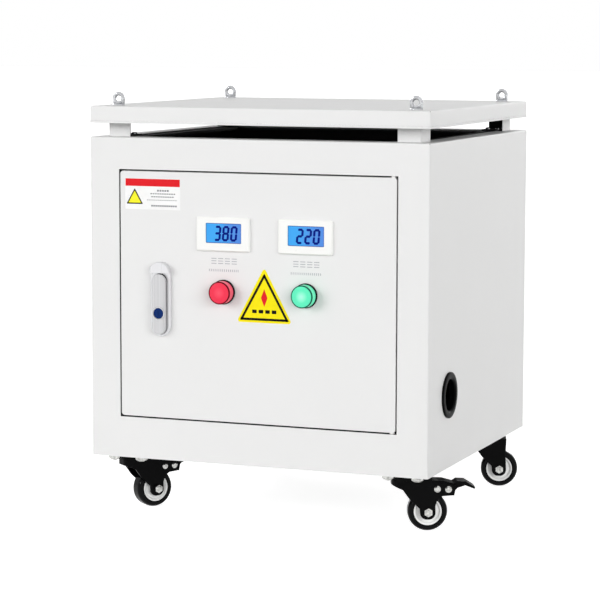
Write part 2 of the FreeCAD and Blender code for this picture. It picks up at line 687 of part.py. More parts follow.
def lock_spindle():
    """The turning shaft: a round journal, a tang in the handle's head and a square for the cam."""
    journal = rod(SPINDLE_R, (LOCK_X, FRONT - LOCK_BASE_T + 0.5, SPINDLE_Z), (0, 1, 0),
                  LOCK_BASE_T + LOCK_BOSS_L)
    half = TANG_W / 2
    tang = box(LOCK_X - half, LOCK_X + half, HANDLE_PIN_Y, FRONT - LOCK_BASE_T + 0.5,
               SPINDLE_Z - TANG_EYE_R, SPINDLE_Z + TANG_EYE_R)
    eye = rod(TANG_EYE_R, (LOCK_X - half, HANDLE_PIN_Y, SPINDLE_Z), (1, 0, 0), TANG_W)
    square = box(LOCK_X - half, LOCK_X + half, FRONT + LOCK_BOSS_L, cam_front() + CAM_T,
                 SPINDLE_Z - half, SPINDLE_Z + half)
    screw = rod(half + 2.0, (LOCK_X, cam_front() + CAM_T, SPINDLE_Z), (0, 1, 0), CAM_HEAD_T)
    hole = rod(HANDLE_PIN_R, (LOCK_X - 20, HANDLE_PIN_Y, SPINDLE_Z), (1, 0, 0), 40)
    return cut(fuse(journal, tang, eye, square, screw), hole)


def cam_front():
    return STOP_Y + SHEET + CAM_CLEAR


def lock_cam():
    """The latch strip on the spindle's square end. It hangs down while the door is free."""
    reach = LOCK_X + OPEN_X - STOP_LIP + CAM_PAST
    half, y0 = CAM_W / 2, cam_front()
    strip = plate_y([(LOCK_X - half, SPINDLE_Z + half, half - 0.01),
                     (LOCK_X + half, SPINDLE_Z + half, half - 0.01),
                     (LOCK_X + half, SPINDLE_Z - reach, 3.0), (LOCK_X - half, SPINDLE_Z - reach, 3.0)],
                    y0, y0 + CAM_T)
    hole = TANG_W / 2
    return cut(strip, box(LOCK_X - hole, LOCK_X + hole, y0 - 1, y0 + CAM_T + 1,
                          SPINDLE_Z - hole, SPINDLE_Z + hole))


def lock_handle():
    """The folding handle: round head over the spindle, straight bar and a ring round the button."""
    half = HANDLE_W / 2
    low = LOCK_Z - LOCK_L / 2 + HANDLE_END
    y0, y1 = HANDLE_Y - HANDLE_T, HANDLE_Y
    bar = plate_y(rect(LOCK_X - half, LOCK_X + half, low, SPINDLE_Z + half, half - 0.01), y0, y1)
    bar = bevel_front(bar, 1.0, y0)
    ring = rod(BUTTON_R + BUTTON_RING, (LOCK_X, y0 - 0.6, BUTTON_Z), (0, 1, 0), 2)
    # The head's back is sloped off above the pin, so that it clears the base when the bar is lifted.
    slope = math.tan(math.radians(HANDLE_LIFT + 3))
    rise = half + 1
    wedge_points = [V(LOCK_X - 20, y1 + 1, SPINDLE_Z + 0.5), V(LOCK_X - 20, y1 + 1, SPINDLE_Z + rise),
                    V(LOCK_X - 20, y1 - rise * slope, SPINDLE_Z + rise), V(LOCK_X - 20, y1, SPINDLE_Z + 0.5),
                    V(LOCK_X - 20, y1 + 1, SPINDLE_Z + 0.5)]
    wedge = Part.Face(Part.makePolygon(wedge_points)).extrude(V(40, 0, 0))
    slot_half = TANG_W / 2 + HANDLE_PLAY
    slot_reach = TANG_EYE_R + HANDLE_PLAY + HANDLE_PIN_BACK * slope
    slot = box(LOCK_X - slot_half, LOCK_X + slot_half, y0 + HANDLE_WALL, y1 + 1,
               SPINDLE_Z - slot_reach, SPINDLE_Z + slot_reach)
    pin = rod(HANDLE_PIN_R + RUN_PLAY, (LOCK_X - half - 1, HANDLE_PIN_Y, SPINDLE_Z), (1, 0, 0), HANDLE_W + 2)
    hole = rod(BUTTON_R + 0.1, (LOCK_X, y0 - 2, BUTTON_Z), (0, 1, 0), HANDLE_T + 4)
    return cut(fuse(bar, ring), wedge, slot, pin, hole)


def lock_pin():
    half = HANDLE_W / 2 - HANDLE_PLAY
    return rod(HANDLE_PIN_R, (LOCK_X - half, HANDLE_PIN_Y, SPINDLE_Z), (1, 0, 0), 2 * half)


def lock_button():
    """The release button. Pressed in, its back stays inside the handle."""
    top = HANDLE_Y - HANDLE_T - BUTTON_PROUD
    length = BUTTON_PROUD + HANDLE_T - BUTTON_TRAVEL
    button = rod(BUTTON_R, (LOCK_X, top, BUTTON_Z), (0, 1, 0), length)
    button = bevel_front(button, 0.8, top)
    return cut(button, box(LOCK_X - 0.6, LOCK_X + 0.6, top - 1, top + 0.8, BUTTON_Z - 3.5, BUTTON_Z + 3.5))


# Casters, each modelled in its own frame and then put in place

def caster_places():
    for x, y, side_x, side_y in four_corners(CASTER_IN_X, CASTER_IN_Y):
        name = ("front" if side_y < 0 else "rear") + ("_left" if side_x < 0 else "_right")
        yield name, x, y


def plate_hole_places():
    for dx in (-PLATE_HOLE_X, PLATE_HOLE_X):
        for dy in (-PLATE_HOLE_Y, PLATE_HOLE_Y):
            yield dx, dy


def caster_bolt_places():
    for name, x, y in caster_places():
        for dx, dy in plate_hole_places():
            yield x + dx, y + dy


def placed(shape, name, x, y, turned):
    moved = shape.copy()
    if turned:
        moved.rotate(V(0, 0, 0), V(0, 0, 1), CASTER_HEADING[name])
    moved.translate(V(x, y, BODY_Z0))
    return moved


def caster_plate():
    """Top plate with the upper race and the riveted kingpin that carries the fork."""
    plate = box(-PLATE_HALF_X, PLATE_HALF_X, -PLATE_HALF_Y, PLATE_HALF_Y, -PLATE_T, 0)
    web_under = -FORK_TOP - FORK_T
    race = spun([(0, 0, 0), (RACE_R, 0, 0), (RACE_R - 2, SWIVEL_GAP - FORK_TOP, 0),
                 (KINGPIN_R, SWIVEL_GAP - FORK_TOP, 0), (KINGPIN_R, web_under - SWIVEL_GAP, 0),
                 (KINGPIN_R + 3, web_under - SWIVEL_GAP, 0), (KINGPIN_R + 1.5, web_under - 3.3, 0),
                 (0, web_under - 3.3, 0)], (0, 0, 0), (0, 0, 1))
    return cut(fuse(plate, race), *[square_hole(dx, dy, -PLATE_T, 0) for dx, dy in plate_hole_places()])


def caster_plates():
    plate = caster_plate()
    return Part.makeCompound([placed(plate, name, x, y, False) for name, x, y in caster_places()])


def caster_bolts():
    """Coach bolts from inside the cabinet, with their nuts under the caster plates."""
    return Part.makeCompound([coach_bolt(x, y, FLOOR_TOP, BODY_Z0 - PLATE_T)
                              for x, y in caster_bolt_places()])


def fork_profile(braked):
    """The fork's side view. The braked one runs on into two ears that hold the pedal."""
    end = FORK_END_R
    front = [(-FORK_FRONT, -FORK_TOP, 0), (-FORK_FRONT, -17.0, 0), (-11.0, -23.0, 0), (-3.0, -34.0, 0),
             (TRAIL - end - 1.0, AXLE_Z + 4.0, 0), (TRAIL - end, AXLE_Z - end, end - 1.0),
             (TRAIL + end, AXLE_Z - end, end - 1.0)]
    if braked:
        rear = [(TRAIL + end - 0.5, -43.0, 0), (33.0, -34.5, 0), (39.0, -31.0, 0), (53.5, -30.0, 0),
                (56.0, -17.5, 0), (30.0, -13.0, 0), (CUP_R, -FORK_TOP, 0)]
    else:
        rear = [(TRAIL + end - 1.0, -30.0, 0), (TRAIL + end, -FORK_TOP, 0)]
    return front + rear


def caster_fork(braked):
    """A pressed fork: web and race cup above, two cheeks and a closed nose."""
    rear_end = 70.0
    outer = plate_z([(-FORK_FRONT, -FORK_HALF, FORK_NOSE_R), (rear_end, -FORK_HALF, 0),
                     (rear_end, FORK_HALF, 0), (-FORK_FRONT, FORK_HALF, FORK_NOSE_R)], -CASTER_H, 0)
    inner_r = FORK_NOSE_R - FORK_T
    nose, cheek = -FORK_FRONT + FORK_T, FORK_HALF - FORK_T
    inner = plate_z([(nose, -cheek, inner_r), (rear_end + 1, -cheek, 0), (rear_end + 1, cheek, 0),
                     (nose, cheek, inner_r)], -CASTER_H - 1, -FORK_TOP - FORK_T)
    side = plate_y(fork_profile(braked), -FORK_HALF - 1, FORK_HALF + 1)
    body = cut(outer.common(side), inner)
    cup = spun([(CUP_R - CUP_WALL, -FORK_TOP - FORK_T, 0), (CUP_R, -FORK_TOP - FORK_T, 0),
                (CUP_R, -PLATE_T - SWIVEL_GAP, 0), (CUP_R - CUP_WALL, -PLATE_T - SWIVEL_GAP, 0)],
               (0, 0, 0), (0, 0, 1))
    deck = rod(CUP_R - CUP_WALL / 2, (0, 0, -FORK_TOP - FORK_T), (0, 0, 1), FORK_T)
    tools = [rod(KINGPIN_R + RUN_PLAY, (0, 0, -30), (0, 0, 1), 30),
             rod(AXLE_R, (TRAIL, -30, AXLE_Z), (0, 1, 0), 60)]
    if braked:
        tools.append(box(CUP_R, 70, -FORK_HALF + FORK_T, FORK_HALF - FORK_T, -30, 0))
        tools += [rod(PIN_R, (x, -30, z), (0, 1, 0), 60) for x, z in (PIN_A, PIN_B)]
    return cut(fuse(body, cup, deck), *tools)


def wheel_hub():
    """Hub turned about the axle: rim, dished web and boss on both sides."""
    rim_in = HUB_R - 3.0
    side = [(AXLE_R + RUN_PLAY, HUB_BOSS_HALF, 0), (7.0, HUB_BOSS_HALF, 0), (8.5, HUB_WEB_HALF, 0),
            (rim_in - 1, HUB_WEB_HALF, 0), (rim_in, WHEEL_HALF - 1, 0), (HUB_R, WHEEL_HALF - 1, 0)]
    far_side = [(radius, -along, turn) for radius, along, turn in reversed(side)]
    return spun(side + far_side, (TRAIL, 0, AXLE_Z), (0, 1, 0))


def tyre():
    side = [(HUB_R, WHEEL_HALF - 1, 0), (WHEEL_R - TREAD_DROP, WHEEL_HALF, 0), (WHEEL_R, TREAD_FLAT, 0)]
    far_side = [(radius, -along, turn) for radius, along, turn in reversed(side)]
    return spun(side + far_side, (TRAIL, 0, AXLE_Z), (0, 1, 0))


def wheel_axle(braked):
    """The axle bolt with its nut. On a braked fork the two brake pins go with it."""
    head = hexagon(AXLE_AF, (TRAIL, -FORK_HALF, AXLE_Z), (0, -1, 0), AXLE_HEAD)
    shank = rod(AXLE_R, (TRAIL, -FORK_HALF, AXLE_Z), (0, 1, 0), 2 * FORK_HALF)
    nut = hexagon(AXLE_AF, (TRAIL, FORK_HALF, AXLE_Z), (0, 1, 0), 5.0)
    pins = [fuse(head, shank, nut)]
    if braked:
        for x, z in (PIN_A, PIN_B):
            shank = rod(PIN_R, (x, -FORK_HALF, z), (0, 1, 0), 2 * FORK_HALF)
            heads = [rod(PIN_HEAD_R, (x, side * FORK_HALF, z), (0, side, 0), PIN_HEAD_H) for side in (-1, 1)]
            pins.append(fuse(shank, *heads))
    return Part.makeCompound(pins)


def brake_pedal():
    """A pressed lever between the fork's ears, with a shoe over the tyre and a dished tread."""
    half = FORK_HALF - FORK_T - SIDE_PLAY
    crest = [(27.0, -11.5, 0), (40.0, -12.0, 0), (53.0, -15.5, 0), (57.5, -12.5, 0), (68.0, -13.0, 0),
             (80.0, -20.5, 0)]
    under = [(79.0, -22.5, 0), (67.5, -18.0, 0), (58.0, -21.0, 0), (51.0, -28.0, 0), (41.0, -31.2, 0),
             (37.0, -27.0, 0), (27.0, -26.0, 0)]
    body = plate_y(crest + under, -half, half)
    inside = [(20.0, crest[0][1], 0)] + crest[1:5] + [(79.0, -19.9, 0)]
    hollow = plate_y([(a, b - PEDAL_T, turn) for a, b, turn in inside] + [(79.0, -40.0, 0), (20.0, -40.0, 0)],
                     -half + PEDAL_T, half - PEDAL_T)
    shoe = plate_y([(37.5, -27.8, 0), (41.0, -31.2, 0), (50.0, -28.4, 0), (50.0, -26.4, 0), (41.5, -28.9, 0),
                    (38.5, -26.2, 0)], -half, half)
    arm = math.hypot(PIN_B[0] - PIN_A[0], PIN_B[1] - PIN_A[1])
    start = math.atan2(PIN_B[1] - PIN_A[1], PIN_B[0] - PIN_A[0])
    stop = start + math.radians(PEDAL_TRAVEL + 1)
    far = (PIN_A[0] + arm * math.cos(stop), PIN_A[1] + arm * math.sin(stop))
    return cut(fuse(cut(body, hollow), shoe),
               rod(PIN_R + RUN_PLAY, (PIN_A[0], -20, PIN_A[1]), (0, 1, 0), 40),
               slot_y(PIN_B, far, PIN_R + 0.4, -20, 20))


# Transformer

def limb_centres():
    return -COIL_PITCH, 0.0, COIL_PITCH


def core_stack():
    """Three-limb lamination stack: a block with two windows."""
    y0, y1 = CORE_Y - CORE_STACK / 2, CORE_Y + CORE_STACK / 2
    half = COIL_PITCH / 2
    windows = [box(side * half - (half - LIMB_W / 2), side * half + (half - LIMB_W / 2), y0 - 1, y1 + 1,
                   WINDOW_Z0, WINDOW_Z1) for side in (-1, 1)]
    return cut(box(-CORE_HALF, CORE_HALF, y0, y1, CORE_Z0, CORE_Z1), *windows)


def stud_places():
    """The yoke studs, just outside the lamination stack."""
    for x in (-CORE_HALF - CLAMP_OVER / 2, CORE_HALF + CLAMP_OVER / 2):
        yield x, CORE_Z0 + LIMB_W / 2
        yield x, CORE_Z1 - LIMB_W / 2


def foot_bolt_places():
    y = CORE_STACK / 2 + CLAMP_T + FOOT_LEG / 2
    for x in (FOOT_BOLT_IN - CLAMP_HALF, CLAMP_HALF - FOOT_BOLT_IN):
        for side in (-1, 1):
            yield x, CORE_Y + side * y


def coil_outline(x, grown, corner):
    """A rounded rectangle round the limb at x, this much larger than the limb on each side."""
    half_x, half_y = LIMB_W / 2 + grown, CORE_STACK / 2 + grown
    return rect(x - half_x, x + half_x, CORE_Y - half_y, CORE_Y + half_y, corner)


def lv_coils():
    """The inner coils, each wound on a bobbin whose end collars carry the outer coil."""
    coils = []
    wound, collar = COIL_PLAY + LV_BUILD, COIL_PLAY + LV_BUILD + DUCT + HV_BUILD - 2
    low, high = WINDOW_Z0, WINDOW_Z1 - COLLAR_PLAY
    for x in limb_centres():
        tube = tube_z(coil_outline(x, wound, 0), coil_outline(x, COIL_PLAY, 0), low, high)
        ends = [tube_z(coil_outline(x, collar, 0), coil_outline(x, wound - 1, 0), z, z + COLLAR_T)
                for z in (low, high - COLLAR_T)]
        coils.append(fuse(tube, *ends))
    return Part.makeCompound(coils)


def hv_coil(x):
    """The outer coil between the collars, with four spacer ribs in the air duct round the inner coil."""
    inside = COIL_PLAY + LV_BUILD + DUCT
    low, high = WINDOW_Z0 + COLLAR_T, WINDOW_Z1 - 2 * COLLAR_PLAY - COLLAR_T
    ring = tube_z(coil_outline(x, inside + HV_BUILD, COIL_CORNER), coil_outline(x, inside, 0), low, high)
    ribs = []
    for side in (-1, 1):
        at_x = x + side * (LIMB_W / 2 + inside - DUCT / 2)
        at_y = CORE_Y + side * (CORE_STACK / 2 + inside - DUCT / 2)
        ribs.append(box(at_x - DUCT / 2, at_x + DUCT / 2, CORE_Y - RIB_HALF, CORE_Y + RIB_HALF, low, high))
        ribs.append(box(x - RIB_HALF, x + RIB_HALF, at_y - DUCT / 2, at_y + DUCT / 2, low, high))
    return fuse(ring, *ribs)


def clamps(upper):
    return Part.makeCompound([clamp(side, upper) for side in (-1, 1)])


def clamp(side, upper):
    """An angle along the yoke. The lower one stands on the floor, the upper one carries the board."""
    face = CORE_Y + side * CORE_STACK / 2
    out = face + side * CLAMP_T
    far = out + side * FOOT_LEG
    z0 = CORE_Z1 - CLAMP_LEG + CLAMP_T if upper else FLOOR_TOP
    z1 = z0 + CLAMP_LEG
    leg = box(-CLAMP_HALF, CLAMP_HALF, min(face, out), max(face, out), z0, z1)
    shelf_z = (z1 - CLAMP_T, z1) if upper else (z0, z0 + CLAMP_T)
    shelf = box(-CLAMP_HALF, CLAMP_HALF, min(face, far), max(face, far), *shelf_z)
    tools = [rod(STUD_R + BOLT_PLAY, (x, face - 20, z), (0, 1, 0), 40) for x, z in stud_places()]
    if not upper:
        tools += [square_hole(x, y, z0, z0 + CLAMP_T) for x, y in foot_bolt_places()]
    return cut(fuse(leg, shelf), *tools)


def core_bolts():
    """Yoke studs with a nut at each end, and the foot bolts in the floor."""
    bolts = []
    outer = CORE_STACK / 2 + CLAMP_T
    for x, z in stud_places():
        length = 2 * outer
        stud = rod(STUD_R, (x, CORE_Y - length / 2, z), (0, 1, 0), length)
        nuts = [hexagon(STUD_AF, (x, CORE_Y + side * outer, z), (0, side, 0), STUD_NUT) for side in (-1, 1)]
        bolts.append(fuse(stud, *nuts))
    bolts += [coach_bolt(x, y, BODY_Z0, FLOOR_TOP + CLAMP_T) for x, y in foot_bolt_places()]
    return Part.makeCompound(bolts)


def board_brackets():
    """Two bent strips from the upper front clamp's shelf to the terminal board."""
    strips = []
    for side in (-1, 1):
        middle = side * (BOARD_W / 2 - BRACKET_IN)
        x0, x1 = middle - BRACKET_W / 2, middle + BRACKET_W / 2
        shelf_y = CORE_Y - CORE_STACK / 2 - CLAMP_T
        flat = box(x0, x1, BOARD_BACK, shelf_y, SHELF_Z, SHELF_Z + BRACKET_T)
        upright = box(x0, x1, BOARD_BACK, BOARD_BACK + BRACKET_T, SHELF_Z, BOARD_Z1 - 1)
        strips.append(fuse(flat, upright))
    return Part.makeCompound(strips)


def terminal_places():
    """The middle of each way of the two terminal blocks."""
    for side in (-1, 1):
        for i in range(BLOCK_WAYS):
            yield side * (BLOCK_GAP / 2 + BARRIER_T + WAY_W / 2 + i * (WAY_W + BARRIER_T))


def terminal_board():
    outline = rect(-BOARD_W / 2, BOARD_W / 2, BOARD_Z0, BOARD_Z1, 4.0)
    return plate_y(outline, BOARD_BACK - BOARD_T, BOARD_BACK)


def terminal_blocks():
    """Input and output blocks: a stepped moulding with a barrier wall on both sides of each way."""
    z0, z1 = BOARD_Z0 + BLOCK_UP, BOARD_Z0 + BLOCK_UP + BLOCK_H
    back = BOARD_BACK - BOARD_T
    width = BLOCK_WAYS * (WAY_W + BARRIER_T) + BARRIER_T
    blocks = []
    for side in (-1, 1):
        x0 = side * (BLOCK_GAP / 2 + width / 2) - width / 2
        base = box(x0, x0 + width, back - BLOCK_BASE_D, back, z0, z1)
        saddle = box(x0, x0 + width, back - BLOCK_BASE_D - SADDLE_T, back, z0 + SADDLE_IN, z1 - SADDLE_IN)
        walls = []
        for i in range(BLOCK_WAYS + 1):
            at = x0 + i * (WAY_W + BARRIER_T)
            walls.append(box(at, at + BARRIER_T, back - BLOCK_D, back, z0, z1))
        blocks.append(fuse(base, saddle, *walls))
    return Part.makeCompound(blocks)


def terminal_studs():
    """A strap across the saddle of each way, with its clamping nut."""
    studs = []
    z = BOARD_Z0 + BLOCK_UP + BLOCK_H / 2
    seat = BOARD_BACK - BOARD_T - BLOCK_BASE_D - SADDLE_T
    for x in terminal_places():
        strap = box(x - STRAP_HALF, x + STRAP_HALF, seat - STRAP_T, seat, z - BLOCK_H / 2 + SADDLE_IN,
                    z + BLOCK_H / 2 - SADDLE_IN)
        studs.append(fuse(strap, hexagon(NUT_AF, (x, seat - STRAP_T, z), (0, -1, 0), NUT_H)))
    return Part.makeCompound(studs)


def build():
    """Every node's name and shape."""
    nodes = {
        "cabinet_shell": cabinet_shell(), "rear_panel": rear_panel(), "floor_pan": floor_pan(),
        "lid": lid(), "lid_posts": lid_posts(), "lifting_eyes": lifting_eyes(),
        "cable_grommet_right": cable_grommet(1),
        "cable_grommet_left": cable_grommet(-1), "hinge_pins": hinge_pins(),
        "door_panel": door_panel(), "door_gasket": door_gasket(), "hinge_bushes": hinge_bushes(),
        "meter_displays": meter_displays(), "door_nuts": door_nuts(),
        "lock_base": lock_base(), "lock_spindle": lock_spindle(), "lock_cam": lock_cam(),
        "lock_handle": lock_handle(), "lock_pin": lock_pin(), "lock_button": lock_button(),
        "caster_plates": caster_plates(), "caster_bolts": caster_bolts(),
        "core_stack": core_stack(), "lv_coils": lv_coils(), "core_bolts": core_bolts(),
        "terminal_board": terminal_board(), "board_brackets": board_brackets(),
        "terminal_blocks": terminal_blocks(), "terminal_studs": terminal_studs(),
        "upper_clamps": clamps(True), "lower_clamps": clamps(False),
    }
    left, right = panel_columns()
    for name, lamp, x in (("input", "red", left), ("output", "green", right)):
        nodes[name + "_voltmeter"] = voltmeter(x)
        nodes[lamp + "_lamp_base"] = lamp_base(x)
        nodes[lamp + "_lamp_lens"] = lamp_lens(x)
    for name, x in zip(("left", "middle", "right"), limb_centres()):
        nodes["hv_coil_" + name] = hv_coil(x)
    forks = {True: caster_fork(True), False: caster_fork(False)}
    axles = {True: wheel_axle(True), False: wheel_axle(False)}
    hub, tread, pedal = wheel_hub(), tyre(), brake_pedal()
    for name, x, y in caster_places():
        braked = name.startswith("front")
        nodes["caster_fork_" + name] = placed(forks[braked], name, x, y, True)
        nodes["wheel_axle_" + name] = placed(axles[braked], name, x, y, True)
        nodes["wheel_hub_" + name] = placed(hub, name, x, y, True)
        nodes["tyre_" + name] = placed(tread, name, x, y, True)
        if braked:
            nodes["brake_pedal_" + name[6:]] = placed(pedal, name, x, y, True)
    return nodes


os.makedirs("parts", exist_ok=True)
for node, shape in build().items():
    bad = [solid for solid in shape.Solids if not solid.isValid()]
    box_size = shape.BoundBox
    print(f"{node}: {len(shape.Solids)} solids, {len(bad)} invalid, "
          f"x {box_size.XMin:.1f} {box_size.XMax:.1f} y {box_size.YMin:.1f} {box_size.YMax:.1f} "
          f"z {box_size.ZMin:.1f} {box_size.ZMax:.1f}")
    shape.exportStep("parts/" + node + ".step")
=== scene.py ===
"""Finishes, markings and small fittings of a dry isolation transformer in a wheeled cabinet.

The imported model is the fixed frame. Every piece made here is placed from one of its nodes or joints
and rides on that body. Lengths are metres, +Z is up, and the door faces -Y.
"""

import json
import logging
import math
from dataclasses import dataclass
from enum import Enum
from typing import Iterable, Sequence

import bmesh
import bpy
from mathutils import Matrix, Vector


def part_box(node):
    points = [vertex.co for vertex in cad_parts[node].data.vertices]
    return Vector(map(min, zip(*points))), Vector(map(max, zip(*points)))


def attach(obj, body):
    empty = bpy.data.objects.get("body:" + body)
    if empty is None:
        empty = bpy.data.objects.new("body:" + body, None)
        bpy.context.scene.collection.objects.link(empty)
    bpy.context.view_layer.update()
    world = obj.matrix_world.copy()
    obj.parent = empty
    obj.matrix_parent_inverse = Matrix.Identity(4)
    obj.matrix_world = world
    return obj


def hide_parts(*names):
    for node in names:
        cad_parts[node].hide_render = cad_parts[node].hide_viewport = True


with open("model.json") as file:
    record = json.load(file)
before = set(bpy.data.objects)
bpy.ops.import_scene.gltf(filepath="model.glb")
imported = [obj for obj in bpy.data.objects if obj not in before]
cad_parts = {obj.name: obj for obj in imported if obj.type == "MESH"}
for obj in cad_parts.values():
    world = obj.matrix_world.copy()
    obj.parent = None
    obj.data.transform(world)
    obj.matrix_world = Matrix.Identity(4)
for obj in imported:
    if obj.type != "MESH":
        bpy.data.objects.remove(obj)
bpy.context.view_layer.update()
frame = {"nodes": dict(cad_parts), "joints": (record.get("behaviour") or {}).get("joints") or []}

MM = 0.001
NEAR = MM / 200  # how close a point lies to the ridge or rim that it belongs to
FAR = 1.0  # a metre, which is past everything on the cabinet
CORNERS = ("front_left", "front_right", "rear_left", "rear_right")
Colour = tuple[float, float, float]
Triple = tuple[float, float, float]
Profile = Sequence[Triple]

log = logging.getLogger("transformer")


# Helpers for places and shapes


class Facing(Enum):
    """Which way a piece looks that was made flat: where its own x, y and z go."""

    FRONT = ((1, 0, 0), (0, 0, 1), (0, -1, 0))
    BACK = ((-1, 0, 0), (0, 0, 1), (0, 1, 0))
    RIGHT = ((0, 1, 0), (0, 0, 1), (1, 0, 0))
    LEFT = ((0, -1, 0), (0, 0, 1), (-1, 0, 0))
    UP = ((1, 0, 0), (0, 1, 0), (0, 0, 1))
    DOWN = ((1, 0, 0), (0, -1, 0), (0, 0, -1))

    def at(self, place: Sequence[float]) -> Matrix:
        """The matrix that turns a flat-made piece this way and moves it to a place.

        Args:
            place: Where the piece's own origin goes, in the frame.

        Returns:
            The piece's matrix.
        """
        turn = Matrix([Vector(axis) for axis in self.value]).transposed().to_4x4()
        return Matrix.Translation(Vector(place)) @ turn


def along(place: Sequence[float], axis: Sequence[float]) -> Matrix:
    """The matrix that lays a piece's own z along an axis through a place.

    Args:
        place: A point on the axis.
        axis: The direction that the piece's z takes.

    Returns:
        The piece's matrix.
    """
    return Matrix.Translation(Vector(place)) @ Vector(axis).to_track_quat("Z", "Y").to_matrix().to_4x4()


def middle_of(node: str) -> Vector:
    """The middle of a node's box."""
    low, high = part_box(node)
    return (low + high) / 2


def joint_named(name: str) -> dict:
    """The record's row of a joint."""
    return next(joint for joint in frame["joints"] if joint["name"] == name)


class Blank:
    """A mesh on the bench. It is made about its own origin and then set in place."""

    def __init__(self) -> None:
        """Starts an empty mesh."""
        self.mesh = bmesh.new()

    @classmethod
    def turned(cls, profile: Profile, steps: int = 64) -> "Blank":
        """A body turned about z.

        Args:
            profile: Points of (radius, height, rounding). It is closed unless both its ends are on the axis.
            steps: How many facets go round.

        Returns:
            The turned blank, with its ridges rounded.
        """
        blank = cls()
        points = [blank.mesh.verts.new((radius, 0.0, height)) for radius, height, _ in profile]
        on_axis = profile[0][0] == 0.0 and profile[-1][0] == 0.0
        ends = points[1:] + ([] if on_axis else points[:1])
        for first, second in zip(points, ends):
            blank.mesh.edges.new((first, second))
        bmesh.ops.spin(blank.mesh, geom=blank.mesh.verts[:] + blank.mesh.edges[:], cent=(0, 0, 0),
                       axis=(0, 0, 1), angle=math.tau, steps=steps, use_merge=True)
        blank.close()
        for radius, height, rounding in profile:
            if rounding:
                blank.round_ring(radius, height, rounding)
        return blank

    @classmethod
    def rod(cls, radius: float, low: float, high: float, steps: int) -> "Blank":
        """A plain round bar along z, between two heights."""
        profile = [(0.0, low, 0.0), (radius, low, 0.0), (radius, high, 0.0), (0.0, high, 0.0)]
        return cls.turned(profile, steps)

    @classmethod
    def sheet(cls, width: float, height: float) -> "Blank":
        """A flat rectangle on the plane z = 0.

        Args:
            width: Its size along x.
            height: Its size along y.

        Returns:
            The rectangle, still without a thickness.
        """
        blank = cls()
        bmesh.ops.create_grid(blank.mesh, x_segments=1, y_segments=1, size=0.5)
        bmesh.ops.scale(blank.mesh, vec=(width, height, 1.0), verts=blank.mesh.verts)
        return blank

    @classmethod
    def panel(cls, width: float, height: float, thickness: float, corner: float = 0.0) -> "Blank":
        """A rectangular plate, standing on the plane z = 0.

        Args:
            width: Its size along x.
            height: Its size along y.
            thickness: Its height over the plane.
            corner: How far each corner is rounded along its edges.

        Returns:
            The plate.
        """
        blank = cls.sheet(width, height)
        if corner:
            blank.round_corners(corner)
        return blank.raised(thickness)

    @classmethod
    def frame(cls, width: float, height: float, thickness: float, border: float) -> "Blank":
        """A rectangular frame of even width, standing on the plane z = 0.

        Args:
            width: Its outer size along x.
            height: Its outer size along y.
            thickness: Its height over the plane.
            border: The width of its bars.

        Returns:
            The frame.
        """
        blank = cls.sheet(width, height)
        blank.hollow(border)
        return blank.raised(thickness)

    @classmethod
    def polygon(cls, sides: int, radius: float, thickness: float, corner: float = 0.0,
                border: float = 0.0) -> "Blank":
        """A regular polygon's plate with one corner up.

        Args:
            sides: How many corners it has.
            radius: From the middle to a sharp corner.
            thickness: Its height over the plane z = 0.
            corner: How far each corner is rounded along its edges.
            border: The width of the frame that is kept, or 0 for a full plate.

        Returns:
            The plate.
        """
        blank = cls()
        bmesh.ops.create_circle(blank.mesh, cap_ends=True, segments=sides, radius=radius)
        first = blank.mesh.verts[:][0].co
        bmesh.ops.rotate(blank.mesh, verts=blank.mesh.verts, cent=(0, 0, 0),
                         matrix=Matrix.Rotation(math.pi / 2 - math.atan2(first.y, first.x), 3, "Z"))
        if corner:
            blank.round_corners(corner)
        if border:
            blank.hollow(border)
        return blank.raised(thickness)

    @classmethod
    def of_node(cls, node: str) -> "Blank":
        """A merged copy of a node's mesh, with its flat faces joined.

        Args:
            node: The node that is copied.

        Returns:
            The copy.
        """
        blank = cls()
        blank.mesh.from_mesh(frame["nodes"][node].data)
        bmesh.ops.remove_doubles(blank.mesh, verts=blank.mesh.verts, dist=MM / 500)
        bmesh.ops.dissolve_limit(blank.mesh, angle_limit=math.radians(0.3), verts=blank.mesh.verts,
                                 edges=blank.mesh.edges, delimit={"NORMAL"})
        return blank

    @staticmethod
    def gathered(parts: Sequence["Blank"]) -> "Blank":
        """Joins all the parts into the first one."""
        return parts[0].joined(*parts[1:])

    def close(self) -> None:
        """Merges what meets and turns the faces outwards."""
        bmesh.ops.remove_doubles(self.mesh, verts=self.mesh.verts, dist=MM / 1000)
        bmesh.ops.recalc_face_normals(self.mesh, faces=self.mesh.faces)

    def hollow(self, border: float) -> None:
        """Cuts out the middle of a flat outline.

        Args:
            border: The width of what is left all round.
        """
        inside = self.mesh.faces[:]
        bmesh.ops.inset_individual(self.mesh, faces=inside, thickness=border)
        bmesh.ops.delete(self.mesh, geom=inside, context="FACES")

    def round_corners(self, size: float) -> None:
        """Rounds every corner of a flat outline."""
        bmesh.ops.bevel(self.mesh, geom=self.mesh.verts[:], offset=size, offset_type="OFFSET",
                        segments=6, profile=0.5, affect="VERTICES", material=-1)

    def raised(self, thickness: float) -> "Blank":
        """Gives a flat outline its thickness towards +z.

        Args:
            thickness: How far its upper side is lifted.

        Returns:
            This blank, closed.
        """
        grown = bmesh.ops.extrude_face_region(self.mesh, geom=self.mesh.faces[:])["geom"]
        tops = [part for part in grown if isinstance(part, bmesh.types.BMVert)]
        bmesh.ops.translate(self.mesh, vec=(0, 0, thickness), verts=tops)
        self.close()
        return self

    def bevel_edges(self, edges: Iterable[bmesh.types.BMEdge], size: float, segments: int = 2) -> None:
        """Rounds the given edges."""
        bmesh.ops.bevel(self.mesh, geom=list(edges), offset=size, offset_type="OFFSET", segments=segments,
                        profile=0.5, affect="EDGES", material=-1, clamp_overlap=True)

